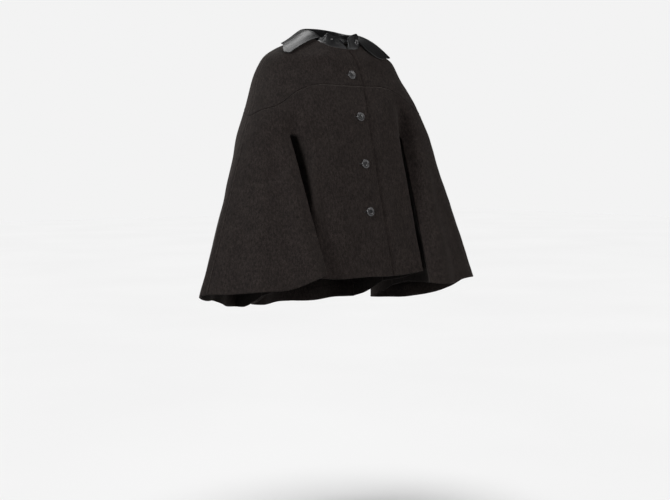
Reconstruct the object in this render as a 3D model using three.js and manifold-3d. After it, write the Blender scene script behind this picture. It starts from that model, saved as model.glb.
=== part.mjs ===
// Wool cape coat with a leather collar, in the form it has when it is worn.
// Millimetres, +Z up. The wearer's front faces -Y and the wearer's left is +X.
// The origin is on the body's axis, level with the shoulders' neck points, where the coat is held.
// Each piece of cloth is a wall: a middle surface, with an outer and an inner skin half a thickness off it.
// In the tables, "out" is the distance in front of the body's axis (-Y), and negative behind it.
import * as THREE from 'three';
import { mergeVertices } from 'three/addons/utils/BufferGeometryUtils.js';
import Module from 'manifold-3d';

const wasm = await Module();
wasm.setup();

// A table with named columns: its first row holds the names.
function table(names, ...rows) {
  return rows.map((row) => Object.fromEntries(names.map((name, place) => [name, row[place]])));
}

// Cloth
const woolThickness = 2.6;
const leatherThickness = 2.4;
const seamGap = 0.34;
const frontLayerStep = 3.4;

// Heights of the construction lines
const underarmZ = -302;

// The underarm fold, between body and sleeve
const underarmHalfWidth = 8;
const underarmX = 240;
const foldHalfAngle = 1.8;
const pullStart = 0.6;
const bodyPullIn = 17;
const bodyPushOut = 18;
const rightGape = 24;
const pullSoonness = 0.6;
const gapeSoonness = 0.4;

// Buttons
const buttonRadius = 14;
const buttonHeights = [-121, -248, -388, -529];
const neckButtonRadius = 9.5;
const neckButtonTurn = 24;
const neckButtonRise = 0.42;
const neckAsideTurn = 2;
const buttonSeat = 0.3;
const buttonSides = 18;
const holeSides = 6;
const buttonHeight = 0.32;
const holeSize = 0.1;
const holeSpacing = 0.19;

// A button's profile from its axis out and back, as shares of its radius and its height.
const buttonProfile = [
  [0, 0],
  [0.86, 0],
  [1, 0.35],
  [0.86, 1],
  [0.72, 0.92],
  [0.6, 0.55],
  [0, 0.5],
];

// Mesh density
const yokeRows = 10;
const chestRows = 2;
const lowerRows = 8;
const underarmRows = 5;
const sleeveColumns = 9;
const standRows = 3;
const leafRows = 5;

// Sections of the upper coat, from the neckline (level 0) to the underarm (level 8).
// crest is the overarm line, front and back are the centre lines, power is the squareness of the ring.
const sections = table(
  ['level', 'crestX', 'crestOut', 'crestZ', 'frontOut', 'frontZ', 'backOut', 'backZ', 'power'],
  [0, 86, 0, -7, 80, -38, -70, 5, 2.6],
  [1, 132, 0, -21, 84, -49, -84, -14, 2.3],
  [2, 186, 0, -41, 88, -60, -98, -40, 2.2],
  [3, 236, 0, -70, 92, -70, -110, -70, 2.15],
  [4, 256, 1, -107, 102, -107, -122, -107, 2.15],
  [5, 277, 11, -151, 117, -151, -133, -151, 2.2],
  [6, 300, 29, -205, 136, -205, -144, -205, 2.2],
  [7, 321, 38, -255, 150, -255, -152, -255, 2.2],
  [8, 343, 45, -302, 158, -302, -158, -302, 2.1],
);
const lastLevel = sections.length - 1;

// The seam under the yoke: its height at an angle from the centre line to the overarm line.
const yokeSeam = table(
  ['angle', 'frontZ', 'backZ'],
  [0, -154, -168],
  [18, -153, -167],
  [28, -157, -170],
  [36, -168, -178],
  [42, -179, -188],
  [48, -196, -200],
  [53, -212, -212],
  [60, -224, -224],
  [74, -234, -238],
  [90, -252, -252],
);

// The free edge of the right front, which laps over the left one: its distance past the centre.
const lapEdge = table(
  ['z', 'x'],
  [-38, 3],
  [-60, 15],
  [-95, 27],
  [-121, 31],
  [-151, 32],
  [-205, 30],
  [-248, 28],
  [-302, 29],
);
const lapEdgeAtHem = 62;
const underlapWidth = 25;
const underlapAtHem = 30;
const lapBlendWidth = 38;
const fullWidthCrest = 300;
const narrowestShare = 0.3;

// The hem's outline, one table for each stretch; share runs along the stretch.
// rightLift is how much higher the hem hangs on the wearer's right.
const bodyFrontHem = table(
  ['share', 'x', 'out', 'z', 'rightLift'],
  [0, 0, 226, -717, 0],
  [0.53, 120, 223, -715, 0],
  [0.78, 175, 218, -712, 0],
  [0.89, 198, 206, -711, 0],
  [1, 209, 185, -714, 0],
);
const bodyFrontSideHem = table(
  ['share', 'x', 'out', 'z', 'rightLift'],
  [0, 209, 185, -714, 0],
  [0.2, 214, 148, -722, 0],
  [0.5, 215, 95, -738, 0],
  [1, 212, 0, -758, 0],
);
const bodyBackHem = table(
  ['share', 'x', 'out', 'z', 'rightLift'],
  [0, 0, -188, -824, 0],
  [0.4, 88, -184, -824, 0],
  [0.76, 160, -165, -822, 0],
  [1, 196, -132, -818, 0],
);
const bodyBackSideHem = table(
  ['share', 'x', 'out', 'z', 'rightLift'],
  [0, 196, -132, -818, 0],
  [0.35, 210, -85, -801, 0],
  [1, 212, 0, -758, 0],
);
const sleeveFrontHem = table(
  ['share', 'x', 'out', 'z', 'rightLift'],
  [0, 195, 245, -746, 48],
  [0.12, 240, 257, -748, 38],
  [0.29, 300, 245, -747, 20],
  [0.49, 370, 213, -744, 6],
  [0.71, 440, 165, -745, 2],
  [0.9, 486, 112, -748, 0],
  [1, 508, 80, -752, 0],
);
const sleeveFrontInnerHem = table(
  ['share', 'x', 'out', 'z', 'rightLift'],
  [0, 195, 245, -746, 48],
  [0.16, 221, 215, -747, 40],
  [0.38, 233, 160, -748, 20],
  [0.61, 240, 100, -752, 6],
  [1, 250, 0, -775, 0],
);
const sleeveBackHem = table(
  ['share', 'x', 'out', 'z', 'rightLift'],
  [0, 264, -126, -822, 4],
  [0.13, 302, -117, -824, 12],
  [0.26, 340, -97, -824, 24],
  [0.51, 408, -44, -818, 36],
  [0.81, 478, 26, -790, 25],
  [1, 508, 80, -752, 0],
);
const sleeveBackInnerHem = table(
  ['share', 'x', 'out', 'z', 'rightLift'],
  [0, 264, -126, -822, 4],
  [0.3, 254, -92, -816, 0],
  [0.63, 250, -50, -799, 0],
  [1, 250, 0, -775, 0],
);

// How the body's columns, at shares of the angle to the underarm, spread along its hem.
const bodySpread = table(
  ['share', 'hemShare'],
  [0, 0],
  [0.25, 0.22],
  [0.4, 0.48],
  [0.55, 0.66],
  [0.7, 0.82],
  [0.85, 0.92],
  [1, 1],
);

// The drag fold from yoke to underarm in each quarter: its angle, depth, width and top.
const dragFolds = {
  frontRight: { angle: 40, depth: 12, width: 7, top: -215 },
  frontLeft: { angle: 36.5, depth: 56, width: 7, top: -172 },
  backRight: { angle: 40, depth: 22, width: 8, top: -190 },
  backLeft: { angle: 40, depth: 26, width: 8, top: -190 },
};

// Soft folds that fall to the hem: where they lie along the stretch, how wide and deep they are
// at the hem, and the height at which they start. A negative depth is a trough.
const hangingFolds = table(
  ['stretch', 'share', 'width', 'depth', 'top'],
  ['frontRightSleeve', 0.31, 0.13, -11, -190],
  ['frontRightSleeve', 0.53, 0.12, 7, -330],
  ['frontRightSleeve', 0.73, 0.12, -9, -400],
  ['frontLeftSleeve', 0.36, 0.13, -10, -250],
  ['frontLeftSleeve', 0.66, 0.14, 8, -380],
  ['backRightSleeve', 0.3, 0.13, -13, -300],
  ['backRightSleeve', 0.62, 0.14, -10, -380],
  ['backLeftSleeve', 0.36, 0.13, -12, -280],
  ['backLeftSleeve', 0.68, 0.13, -9, -400],
  ['frontRightBody', 0.6, 0.14, -5, -470],
  ['backRightBody', 0.2, 0.16, 9, -330],
  ['backRightBody', 0.55, 0.16, -14, -260],
  ['backRightBody', 0.85, 0.14, 8, -400],
  ['backLeftBody', 0.26, 0.16, -11, -300],
  ['backLeftBody', 0.6, 0.16, 11, -360],
);

// The collar stand above the neckline, by the turn from the centre front (0) to the centre back (180).
// Its ends are undone and lie open, so the sides differ.
const standShape = {
  right: table(
    ['turn', 'rise', 'lean'],
    [0, 6, 1],
    [6, 21, 3],
    [19, 32, 4],
    [38, 35, 5],
    [52, 15, 5],
    [57, 12, 5],
    [70, 17.5, 6],
    [90, 23, 7],
    [180, 28, 7],
  ),
  left: table(
    ['turn', 'rise', 'lean'],
    [0, 26, 0],
    [9, 40, 0],
    [24, 45, 1],
    [33, 40, 2],
    [39, 30, 3],
    [44, 18, 4],
    [60, 16, 5],
    [90, 20, 7],
    [180, 28, 7],
  ),
};

// The leather leaf's outer edge, on the coat's section levels, and how far it is held off the wool.
// spread turns a column outwards, and belly pushes its middle forwards. crown is the height of the
// middle over the straight line from the fold to the edge, and roll the height just past the fold.
const leafEdge = {
  right: table(
    ['turn', 'level', 'lift', 'spread', 'belly', 'crown', 'roll'],
    [57, 3, 9, -6, 0, 12, 0],
    [63, 2.9, 9, -5, 0, 10, 4],
    [68.5, 2.55, 9, -3, 0, 7, 8],
    [74, 2.2, 8, 0, 0, 4, 11],
    [79.5, 1.92, 8, 1, 0, 2, 13],
    [90, 1.7, 8, 0, 0, 1, 14],
    [110, 1.55, 8, 0, 0, 0, 12],
    [140, 1.62, 8, 0, 0, -2, 10],
    [180, 1.85, 8, 0, 0, -3, 9],
  ),
  left: table(
    ['turn', 'level', 'lift', 'spread', 'belly', 'crown', 'roll'],
    [44, 2.78, 9, -1, 39, -45, -20],
    [50, 2.78, 9, 0, 26, -20, -8],
    [55.5, 2.7, 9, 2, 15, 2, 0],
    [61.3, 2.6, 9, 3, 6, 17, 4],
    [67, 2.45, 9, 3, 0, 25, 6],
    [72.7, 2.2, 8, 3, 0, 22, 8],
    [78.5, 1.95, 8, 2, 0, 15, 10],
    [90, 1.7, 8, 0, 0, 2, 12],
    [110, 1.55, 8, 0, 0, 0, 12],
    [140, 1.62, 8, 0, 0, -2, 10],
    [180, 1.85, 8, 0, 0, -3, 9],
  ),
};
const rollShare = 0.16;
const rollBelly = 0.3;

const wool = { color: 0x26221f, roughness: 0.95, metalness: 0 };
const leather = { color: 0x121212, roughness: 0.38, metalness: 0 };
const horn = { color: 0x2b2b2d, roughness: 0.25, metalness: 0 };

const radians = THREE.MathUtils.degToRad;
const degrees = THREE.MathUtils.radToDeg;
const { clamp, lerp } = THREE.MathUtils;

// A smooth step from 0 to 1 as the share goes from 0 to 1.
function ease(share) {
  const held = clamp(share, 0, 1);
  return held * held * (3 - 2 * held);
}

// The slope of a table's column at a row, with no overshoot between rows.
function slopeAt(table, key, column, row) {
  const step = (a) => (table[a + 1][column] - table[a][column]) / (table[a + 1][key] - table[a][key]);
  if (row === 0) return step(0);
  if (row === table.length - 1) return step(row - 1);
  const before = step(row - 1);
  const after = step(row);
  return before * after <= 0 ? 0 : (2 * before * after) / (before + after);
}

// A table's column, read smoothly where its key column has the given value.
function read(table, key, column, value) {
  const rising = table[1][key] > table[0][key] ? 1 : -1;
  let row = 0;
  while (row < table.length - 2 && rising * (value - table[row + 1][key]) > 0) row += 1;
  const span = table[row + 1][key] - table[row][key];
  const t = clamp((value - table[row][key]) / span, 0, 1);
  const start = table[row][column];
  const end = table[row + 1][column];
  const leave = slopeAt(table, key, column, row) * span;
  const arrive = slopeAt(table, key, column, row + 1) * span;
  const rise = end - start;
  return start + rise * t + t * (1 - t) * ((leave - rise) * (1 - t) - (arrive - rise) * t);
}

// From this level down, a section is level from front to crest.
const firstFlatLevel = 3;
const halvings = 30;

// The level of the sections at a height under the shoulders.
function levelAt(z) {
  let high = firstFlatLevel;
  let low = lastLevel;
  for (let round = 0; round < halvings; round += 1) {
    const middle = (high + low) / 2;
    if (read(sections, 'level', 'crestZ', middle) > z) high = middle;
    else low = middle;
  }
  return (high + low) / 2;
}

const quarters = [
  { name: 'frontRight', face: 'front', hand: 'right', side: -1 },
  { name: 'frontLeft', face: 'front', hand: 'left', side: 1 },
  { name: 'backRight', face: 'back', hand: 'right', side: -1 },
  { name: 'backLeft', face: 'back', hand: 'left', side: 1 },
];

// A point of the upper coat, at an angle from the centre line (0) to the overarm line (90).
function coatPoint(quarter, angle, level) {
  const at = (column) => read(sections, 'level', column, level);
  const power = at('power');
  const reach = Math.abs(Math.sin(radians(angle))) ** (2 / power);
  const depth = Math.abs(Math.cos(radians(angle))) ** (2 / power);
  const centreOut = at(`${quarter.face}Out`);
  const centreZ = at(`${quarter.face}Z`);
  const z = lerp(centreZ, at('crestZ'), reach ** 4);
  const fold = dragFolds[quarter.name];
  const foldHere = Math.exp(-(((angle - fold.angle) / fold.width) ** 2));
  const foldDepth = fold.depth * ease((fold.top - z) / (fold.top - underarmZ)) * foldHere;
  const out = at('crestOut') * reach ** 4 + centreOut * depth - Math.sign(centreOut) * foldDepth;
  return new THREE.Vector3(quarter.side * at('crestX') * reach, -out, z);
}

// The angle at which the section at a level is this far from the centre plane.
function angleOf(x, level) {
  const share = Math.abs(x) / read(sections, 'level', 'crestX', level);
  return degrees(Math.asin(share ** (read(sections, 'level', 'power', level) / 2)));
}

// A point near the centre front, given by its sideways distance.
function centrePoint(x, level) {
  const quarter = x < 0 ? quarters[0] : quarters[1];
  return coatPoint(quarter, angleOf(x, level), level);
}

// How far a line near the centre front has closed in on the centre at this level.
function narrowing(level) {
  return clamp(read(sections, 'level', 'crestX', level) / fullWidthCrest, narrowestShare, 1);
}

// Lines down the front that follow the lap's free edge, as sideways distances.
const lapLines = {
  edge: { above: (z) => read(lapEdge, 'z', 'x', z), atHem: lapEdgeAtHem },
  half: { above: (z) => read(lapEdge, 'z', 'x', z) / 2, atHem: lapEdgeAtHem / 2 },
  centre: { above: () => 0, atHem: 0 },
  under: { above: (z, narrow) => -underlapWidth * narrow, atHem: -underlapAtHem },
  near: {
    above: (z, narrow) => read(lapEdge, 'z', 'x', z) + (lapBlendWidth / 2) * narrow,
    atHem: lapEdgeAtHem + lapBlendWidth / 2,
  },
  far: {
    above: (z, narrow) => read(lapEdge, 'z', 'x', z) + lapBlendWidth * narrow,
    atHem: lapEdgeAtHem + lapBlendWidth,
  },
};
const lapColumns = {
  frontRight: ['edge', 'half', 'centre', 'under'],
  frontLeft: ['under', 'centre', 'half', 'edge', 'near', 'far'],
};
const layerShare = { under: 1, centre: 1, half: 1, edge: 1, near: 0.5, far: 0 };

// The columns of a quarter from its centre to the overarm line, with the two at the underarm fold.
function columnsOf(quarter) {
  const foldAngle = dragFolds[quarter.name].angle;
  const inner = foldAngle - foldHalfAngle;
  const outer = foldAngle + foldHalfAngle;
  const shares = quarter.name === 'frontLeft' ? [0.4, 0.55, 0.7, 0.85, 1] : [0.25, 0.4, 0.55, 0.7, 0.85, 1];
  const lines = (lapColumns[quarter.name] ?? []).map((line) => ({ line, region: 'body' }));
  if (quarter.face === 'back') lines.push({ angle: 0, share: 0, region: 'body' });
  const body = shares.map((share) => ({ angle: inner * share, share, region: 'body' }));
  const sleeve = [];
  for (let step = 0; step <= sleeveColumns; step += 1) {
    const share = step / sleeveColumns;
    sleeve.push({ angle: lerp(outer, 90, share), share, region: 'sleeve' });
  }
  return [...lines, ...body, ...sleeve];
}

// The side-to-side place of a lap line at a level.
function lineX(line, level) {
  const z = read(sections, 'level', 'frontZ', level);
  return lapLines[line].above(z, narrowing(level));
}

// The left front steps back behind the right one where they lap.
function stepBack(point, quarter, column) {
  const share = quarter.name === 'frontLeft' && column.line ? layerShare[column.line] : 0;
  return point.setY(point.y + frontLayerStep * share);
}

function upperPoint(quarter, column, level) {
  if (!column.line) return coatPoint(quarter, column.angle, level);
  return stepBack(centrePoint(lineX(column.line, level), level), quarter, column);
}

function hemPoint(quarter, table, key, value) {
  const at = (name) => read(table, key, name, value);
  const lift = quarter.hand === 'right' ? at('rightLift') : 0;
  return new THREE.Vector3(quarter.side * at('x'), -at('out'), at('z') + lift);
}

function bodyHemPoint(quarter, column) {
  const table = quarter.face === 'front' ? bodyFrontHem : bodyBackHem;
  if (!column.line) {
    const along = read(bodySpread, 'share', 'hemShare', column.share);
    return hemPoint(quarter, table, 'share', along);
  }
  const x = lapLines[column.line].atHem;
  const point = hemPoint(quarter, table, 'x', Math.abs(x)).setX(x);
  return stepBack(point, quarter, column);
}

// A hanging fold reaches its depth this far below its top, and dies out in this share of its stretch.
const foldRunIn = 380;
const foldBorder = 0.1;

// The height of a hanging fold over the plain surface.
function foldHeight(stretch, share, z) {
  let height = 0;
  for (const fold of hangingFolds) {
    if (fold.stretch !== stretch || z > fold.top) continue;
    const across = Math.exp(-(((share - fold.share) / fold.width) ** 2));
    const border = ease(Math.min(share, 1 - share) / foldBorder);
    height += fold.depth * across * border * ease((fold.top - z) / foldRunIn);
  }
  return height;
}

// All cloth points, shared where pieces meet, and the quads between them.
// Points in the same cell of a fine grid are one; the offset keeps round sizes off the cells' borders.
const mergeSteps = 50;
const mergeOffset = 0.3183;
const cloth = { points: [], relief: [], quads: [], index: new Map() };

function clothPoint(position, relief = 0) {
  const key = position.toArray().map((value) => Math.floor(value * mergeSteps + mergeOffset)).join();
  if (!cloth.index.has(key)) {
    cloth.index.set(key, cloth.points.length);
    cloth.points.push(position.clone());
    cloth.relief.push(relief);
  }
  return cloth.index.get(key);
}

// Rows of points, from top to bottom and from the centre outwards, become the quads of one piece.
function addGrid(piece, quarter, rows) {
  const mirrored = (quarter.hand === 'left') !== (quarter.face === 'back');
  for (let row = 0; row + 1 < rows.length; row += 1) {
    for (let column = 0; column + 1 < rows[row].length; column += 1) {
      const corners = [
        rows[row][column],
        rows[row][column + 1],
        rows[row + 1][column + 1],
        rows[row + 1][column],
      ];
      cloth.quads.push({ piece, corners: mirrored ? corners.reverse() : corners });
    }
  }
}

function range(count) {
  return Array.from({ length: count + 1 }, (_, step) => step / count);
}

function yokeLevel(quarter, column) {
  const angle = column.line ? 0 : column.angle;
  return levelAt(read(yokeSeam, 'angle', `${quarter.face}Z`, angle));
}

// Straight fall of a column from the underarm level to the hem, drawn in at the body's side.
// gape draws it in further just under the underarm, where the sleeve stands open.
function fallPoint(top, bottom, share, drawIn = 0, pushOut = 0, gape = 0) {
  const pull = Math.sin(Math.PI * share ** pullSoonness);
  const open = Math.sin(Math.PI * share ** gapeSoonness) * (1 - share) ** 2;
  const point = top.clone().lerp(bottom, share);
  point.x -= Math.sign(point.x) * (drawIn * pull + gape * open);
  point.y -= pushOut * pull;
  return point;
}

function quarterName(quarter, kind) {
  if (quarter.face === 'back') return kind === 'yoke' ? 'yoke_back' : 'back';
  return kind === 'yoke' ? `yoke_front_${quarter.hand}` : `front_${quarter.hand}`;
}

// Yoke, chest, body and sleeve of one quarter, and its share of the collar.
function buildQuarter(quarter) {
  const columns = columnsOf(quarter);
  const bodyColumns = columns.filter((column) => column.region === 'body');
  const sleeve = columns.filter((column) => column.region === 'sleeve');
  const yokePiece = quarterName(quarter, 'yoke');
  const lowerPiece = quarterName(quarter, 'lower');

  const neckline = columns.map((column) => upperPoint(quarter, column, 0));
  addCollar(quarter, columns, neckline);

  const yoke = range(yokeRows).map((share) =>
    columns.map((column) => clothPoint(upperPoint(quarter, column, share * yokeLevel(quarter, column)))),
  );
  addGrid(yokePiece, quarter, yoke);

  const chestPoint = (column, share) => {
    const point = upperPoint(quarter, column, lerp(yokeLevel(quarter, column), lastLevel, share));
    const stretch = `${quarter.name}${column.region === 'body' ? 'Body' : 'Sleeve'}`;
    const relief = column.line ? 0 : foldHeight(stretch, column.share, point.z);
    return clothPoint(point, relief);
  };
  const chest = range(chestRows).map((share) => columns.map((column) => chestPoint(column, share)));
  addGrid(lowerPiece, quarter, chest);

  // The underarm fold runs from the quarter's split back to the side seam.
  const split = {
    inner: upperPoint(quarter, bodyColumns.at(-1), lastLevel),
    outer: upperPoint(quarter, sleeve[0], lastLevel),
  };
  const seam = {
    inner: new THREE.Vector3(quarter.side * (underarmX - underarmHalfWidth), 0, underarmZ),
    outer: new THREE.Vector3(quarter.side * (underarmX + underarmHalfWidth), 0, underarmZ),
  };
  const along = (edge) => range(underarmRows).map((share) => split[edge].clone().lerp(seam[edge], share));
  const innerEdge = along('inner');
  const outerEdge = along('outer');
  const bridge = innerEdge.map((point, row) => [clothPoint(point), clothPoint(outerEdge[row])]);
  addGrid(lowerPiece, quarter, bridge);

  // The body, from the centre to the side seam.
  const bodySideHem = quarter.face === 'front' ? bodyFrontSideHem : bodyBackSideHem;
  const gape = quarter.name === 'frontRight' ? rightGape : 0;
  const body = range(lowerRows).map((share) => {
    const front = bodyColumns.map((column) => {
      const top = upperPoint(quarter, column, lastLevel);
      const atFold = column.line ? 0 : ease((column.share - pullStart) / (1 - pullStart));
      const pushOut = quarter.face === 'front' ? bodyPushOut * atFold : 0;
      const hem = bodyHemPoint(quarter, column);
      const point = fallPoint(top, hem, share, bodyPullIn * atFold, pushOut, gape * atFold);
      const relief = column.line ? 0 : foldHeight(`${quarter.name}Body`, column.share, point.z);
      return clothPoint(point, relief);
    });
    const wrap = innerEdge.slice(1).map((top, step) => {
      const round = (step + 1) / underarmRows;
      const pushOut = quarter.face === 'front' ? bodyPushOut * (1 - round) : 0;
      const hem = hemPoint(quarter, bodySideHem, 'share', round);
      return clothPoint(fallPoint(top, hem, share, bodyPullIn, pushOut, gape * (1 - round)));
    });
    return [...front, ...wrap];
  });
  addGrid(lowerPiece, quarter, body);

  // The sleeve, from its inner seam round the open front or back to the overarm line.
  const sleeveHem = quarter.face === 'front' ? sleeveFrontHem : sleeveBackHem;
  const innerHem = quarter.face === 'front' ? sleeveFrontInnerHem : sleeveBackInnerHem;
  const sleeveRows = range(lowerRows).map((share) => {
    const wrap = outerEdge.slice(1).map((top, step) => {
      const round = (step + 1) / underarmRows;
      return clothPoint(fallPoint(top, hemPoint(quarter, innerHem, 'share', round), share));
    });
    const open = sleeve.map((column) => {
      const top = upperPoint(quarter, column, lastLevel);
      const point = fallPoint(top, hemPoint(quarter, sleeveHem, 'share', column.share), share);
      return clothPoint(point, foldHeight(`${quarter.name}Sleeve`, column.share, point.z));
    });
    return [...wrap.reverse(), ...open];
  });
  addGrid(lowerPiece, quarter, sleeveRows);
}

// The turn round the neck of a column: 0 at the centre front and 180 at the centre back.
function turnOf(quarter, column) {
  const angle = column.line ? angleOf(lineX(column.line, 0), 0) : column.angle;
  return quarter.face === 'front' ? angle : 180 - angle;
}

function standTop(quarter, column, base) {
  const turn = turnOf(quarter, column);
  const shape = standShape[quarter.hand];
  const inward = new THREE.Vector3(-base.x, -base.y, 0).setLength(read(shape, 'turn', 'lean', turn));
  return base.clone().add(inward).setZ(base.z + read(shape, 'turn', 'rise', turn));
}

// A line across the leaf, from its outer edge up to the fold at the stand's top.
function leafLine(quarter, column, top) {
  const turn = turnOf(quarter, column);
  const edge = (name) => read(leafEdge[quarter.hand], 'turn', name, turn);
  const edgeAngle = quarter.face === 'front' ? column.angle + edge('spread') : column.angle;
  const rest = coatPoint(quarter, Math.min(edgeAngle, 90), edge('level'));
  const outer = rest.clone().add(new THREE.Vector3(0, 0, edge('lift')));
  outer.add(new THREE.Vector3(rest.x, rest.y, 0).setLength(edge('lift') / 2));
  const middle = top.clone().lerp(outer, 0.5);
  middle.y -= edge('belly');
  middle.z += edge('crown');
  const roll = top.clone().lerp(outer, rollShare).setZ(top.z + edge('roll'));
  roll.y -= edge('belly') * rollBelly;
  return new THREE.CubicBezierCurve3(outer, middle, roll, top).getPoints(leafRows);
}

// The columns on which the stand and the leaf start, counted from the centre front.
const standStart = { frontRight: 2, frontLeft: 4, backRight: 0, backLeft: 0 };
const leafStart = { frontRight: 13, frontLeft: 12, backRight: 0, backLeft: 0 };

function addCollar(quarter, columns, neckline) {
  const first = standStart[quarter.name];
  const tops = columns.map((column, place) => standTop(quarter, column, neckline[place]));
  const stand = range(standRows).map((share) =>
    columns.slice(first).map((column, place) =>
      clothPoint(tops[place + first].clone().lerp(neckline[place + first], share)),
    ),
  );
  addGrid('collar_stand', quarter, stand);
  const start = leafStart[quarter.name];
  const lines = columns.slice(start).map((column, place) => leafLine(quarter, column, tops[place + start]));
  const leaf = range(leafRows).map((_, row) => lines.map((line) => clothPoint(line[row])));
  addGrid('collar', quarter, leaf);
}

function quadNormal(corners) {
  const [a, b, c, d] = corners.map((corner) => cloth.points[corner]);
  return c.clone().sub(a).cross(d.clone().sub(b));
}

// The cloth's normal at each point, averaged over the quads that meet there.
function pointNormals() {
  const normals = cloth.points.map(() => new THREE.Vector3());
  for (const quad of cloth.quads) {
    const normal = quadNormal(quad.corners);
    for (const corner of quad.corners) normals[corner].add(normal);
  }
  return normals.map((normal) => normal.normalize());
}

function edgeKey(a, b) {
  return a < b ? `${a}_${b}` : `${b}_${a}`;
}

// The edges of a set of quads, each with the quads that it borders.
function edgesOf(quads) {
  const edges = new Map();
  for (const quad of quads) {
    quad.corners.forEach((corner, place) => {
      const next = quad.corners[(place + 1) % 4];
      const key = edgeKey(corner, next);
      if (!edges.has(key)) edges.set(key, []);
      edges.get(key).push({ quad, from: corner, to: next });
    });
  }
  return edges;
}

// At a seam with another piece, each edge draws back by half the seam's gap.
function seamShifts(own, all) {
  const directions = new Map();
  for (const [key, uses] of own) {
    if (uses.length > 1 || all.get(key).length === 1) continue;
    const { quad, from, to } = uses[0];
    const a = cloth.points[from];
    const b = cloth.points[to];
    const centre = new THREE.Vector3();
    for (const corner of quad.corners) centre.addScaledVector(cloth.points[corner], 0.25);
    const along = b.clone().sub(a).normalize();
    const inward = centre.sub(a);
    inward.addScaledVector(along, -inward.dot(along)).normalize();
    for (const corner of [from, to]) {
      if (!directions.has(corner)) directions.set(corner, []);
      directions.get(corner).push(inward);
    }
  }
  const shifts = new Map();
  for (const [corner, inwards] of directions) {
    const sum = inwards.reduce((total, inward) => total.add(inward), new THREE.Vector3());
    const spread = inwards.length === 1 ? 1 : 1 + inwards[0].dot(inwards[1]);
    const shift = inwards.length === 1 ? sum : sum.divideScalar(Math.max(spread, 0.5));
    shifts.set(corner, shift.multiplyScalar(seamGap / 2));
  }
  return shifts;
}

// One piece's closed wall: two skins, joined along every free edge and seam.
function wallGeometry(piece, thickness, normals, allEdges) {
  const quads = cloth.quads.filter((quad) => quad.piece === piece);
  const edges = edgesOf(quads);
  const shifts = seamShifts(edges, allEdges);
  const places = new Map();
  const positions = [];
  for (const quad of quads) {
    for (const corner of quad.corners) {
      if (places.has(corner)) continue;
      places.set(corner, places.size);
      const middle = cloth.points[corner].clone().add(shifts.get(corner) ?? new THREE.Vector3());
      positions.push(middle.clone().addScaledVector(normals[corner], thickness / 2));
      positions.push(middle.clone().addScaledVector(normals[corner], -thickness / 2));
    }
  }
  const outer = (corner) => places.get(corner) * 2;
  const inner = (corner) => places.get(corner) * 2 + 1;
  const triangles = [];
  for (const quad of quads) {
    const [a, b, c, d] = quad.corners;
    triangles.push(outer(a), outer(b), outer(c), outer(a), outer(c), outer(d));
    triangles.push(inner(c), inner(b), inner(a), inner(d), inner(c), inner(a));
  }
  for (const uses of edges.values()) {
    if (uses.length > 1) continue;
    const { from, to } = uses[0];
    triangles.push(outer(to), outer(from), inner(from), outer(to), inner(from), inner(to));
  }
  const geometry = new THREE.BufferGeometry();
  const numbers = positions.flatMap((position) => position.toArray());
  geometry.setAttribute('position', new THREE.Float32BufferAttribute(numbers, 3));
  geometry.setIndex(triangles);
  geometry.computeVertexNormals();
  return geometry;
}

function toSolid(geometry) {
  const bare = geometry.clone();
  bare.deleteAttribute('normal');
  bare.deleteAttribute('uv');
  const merged = mergeVertices(bare, 1e-4);
  return new wasm.Manifold(
    new wasm.Mesh({
      numProp: 3,
      vertProperties: new Float32Array(merged.attributes.position.array),
      triVerts: new Uint32Array(merged.index.array),
    }),
  );
}

function toGeometry(solid) {
  const mesh = solid.getMesh();
  const geometry = new THREE.BufferGeometry();
  geometry.setAttribute('position', new THREE.BufferAttribute(new Float32Array(mesh.vertProperties), 3));
  geometry.setIndex(new THREE.BufferAttribute(new Uint32Array(mesh.triVerts), 1));
  geometry.computeVertexNormals();
  return geometry;
}

// A dished button with a rounded rim and four thread holes; its back lies on z = 0.
function buttonGeometry(radius) {
  const height = radius * buttonHeight;
  const profile = buttonProfile.map(([across, up]) => new THREE.Vector2(across * radius, up * height));
  const disc = new THREE.LatheGeometry(profile, buttonSides).rotateX(Math.PI / 2);
  let solid = toSolid(disc);
  const holeRadius = radius * holeSize;
  const holeOffset = radius * holeSpacing;
  for (const x of [-holeOffset, holeOffset]) {
    for (const y of [-holeOffset, holeOffset]) {
      const drill = new THREE.CylinderGeometry(holeRadius, holeRadius, height * 3, holeSides);
      drill.rotateX(Math.PI / 2).translate(x, y, 0);
      solid = solid.subtract(toSolid(drill));
    }
  }
  return toGeometry(solid);
}

const group = new THREE.Group();

function addMesh(name, geometry, finish) {
  const mesh = new THREE.Mesh(geometry, new THREE.MeshStandardMaterial(finish));
  mesh.name = name;
  group.add(mesh);
  return mesh;
}

for (const quarter of quarters) buildQuarter(quarter);
const plainNormals = pointNormals();
cloth.points.forEach((point, place) => point.addScaledVector(plainNormals[place], cloth.relief[place]));
const normals = pointNormals();
const allEdges = edgesOf(cloth.quads);

const woolPieces = ['yoke_front_right', 'yoke_front_left', 'yoke_back', 'front_right', 'front_left', 'back'];
for (const piece of woolPieces) addMesh(piece, wallGeometry(piece, woolThickness, normals, allEdges), wool);
for (const piece of ['collar_stand', 'collar']) {
  addMesh(piece, wallGeometry(piece, leatherThickness, normals, allEdges), leather);
}

// A button set on a surface, given by a point of its skin and the direction in which it faces.
function placeButton(name, radius, point, facing) {
  const mesh = addMesh(name, buttonGeometry(radius), horn);
  mesh.position.copy(point).addScaledVector(facing, buttonSeat);
  mesh.quaternion.setFromUnitVectors(new THREE.Vector3(0, 0, 1), facing);
}

// A point of the right front's centre line at a height, above or below the underarm.
function frontLine(z) {
  if (z > underarmZ) return centrePoint(0, levelAt(z));
  const top = centrePoint(0, lastLevel);
  const bottom = hemPoint(quarters[0], bodyFrontHem, 'share', 0);
  return top.clone().lerp(bottom, (z - top.z) / (bottom.z - top.z));
}

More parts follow.
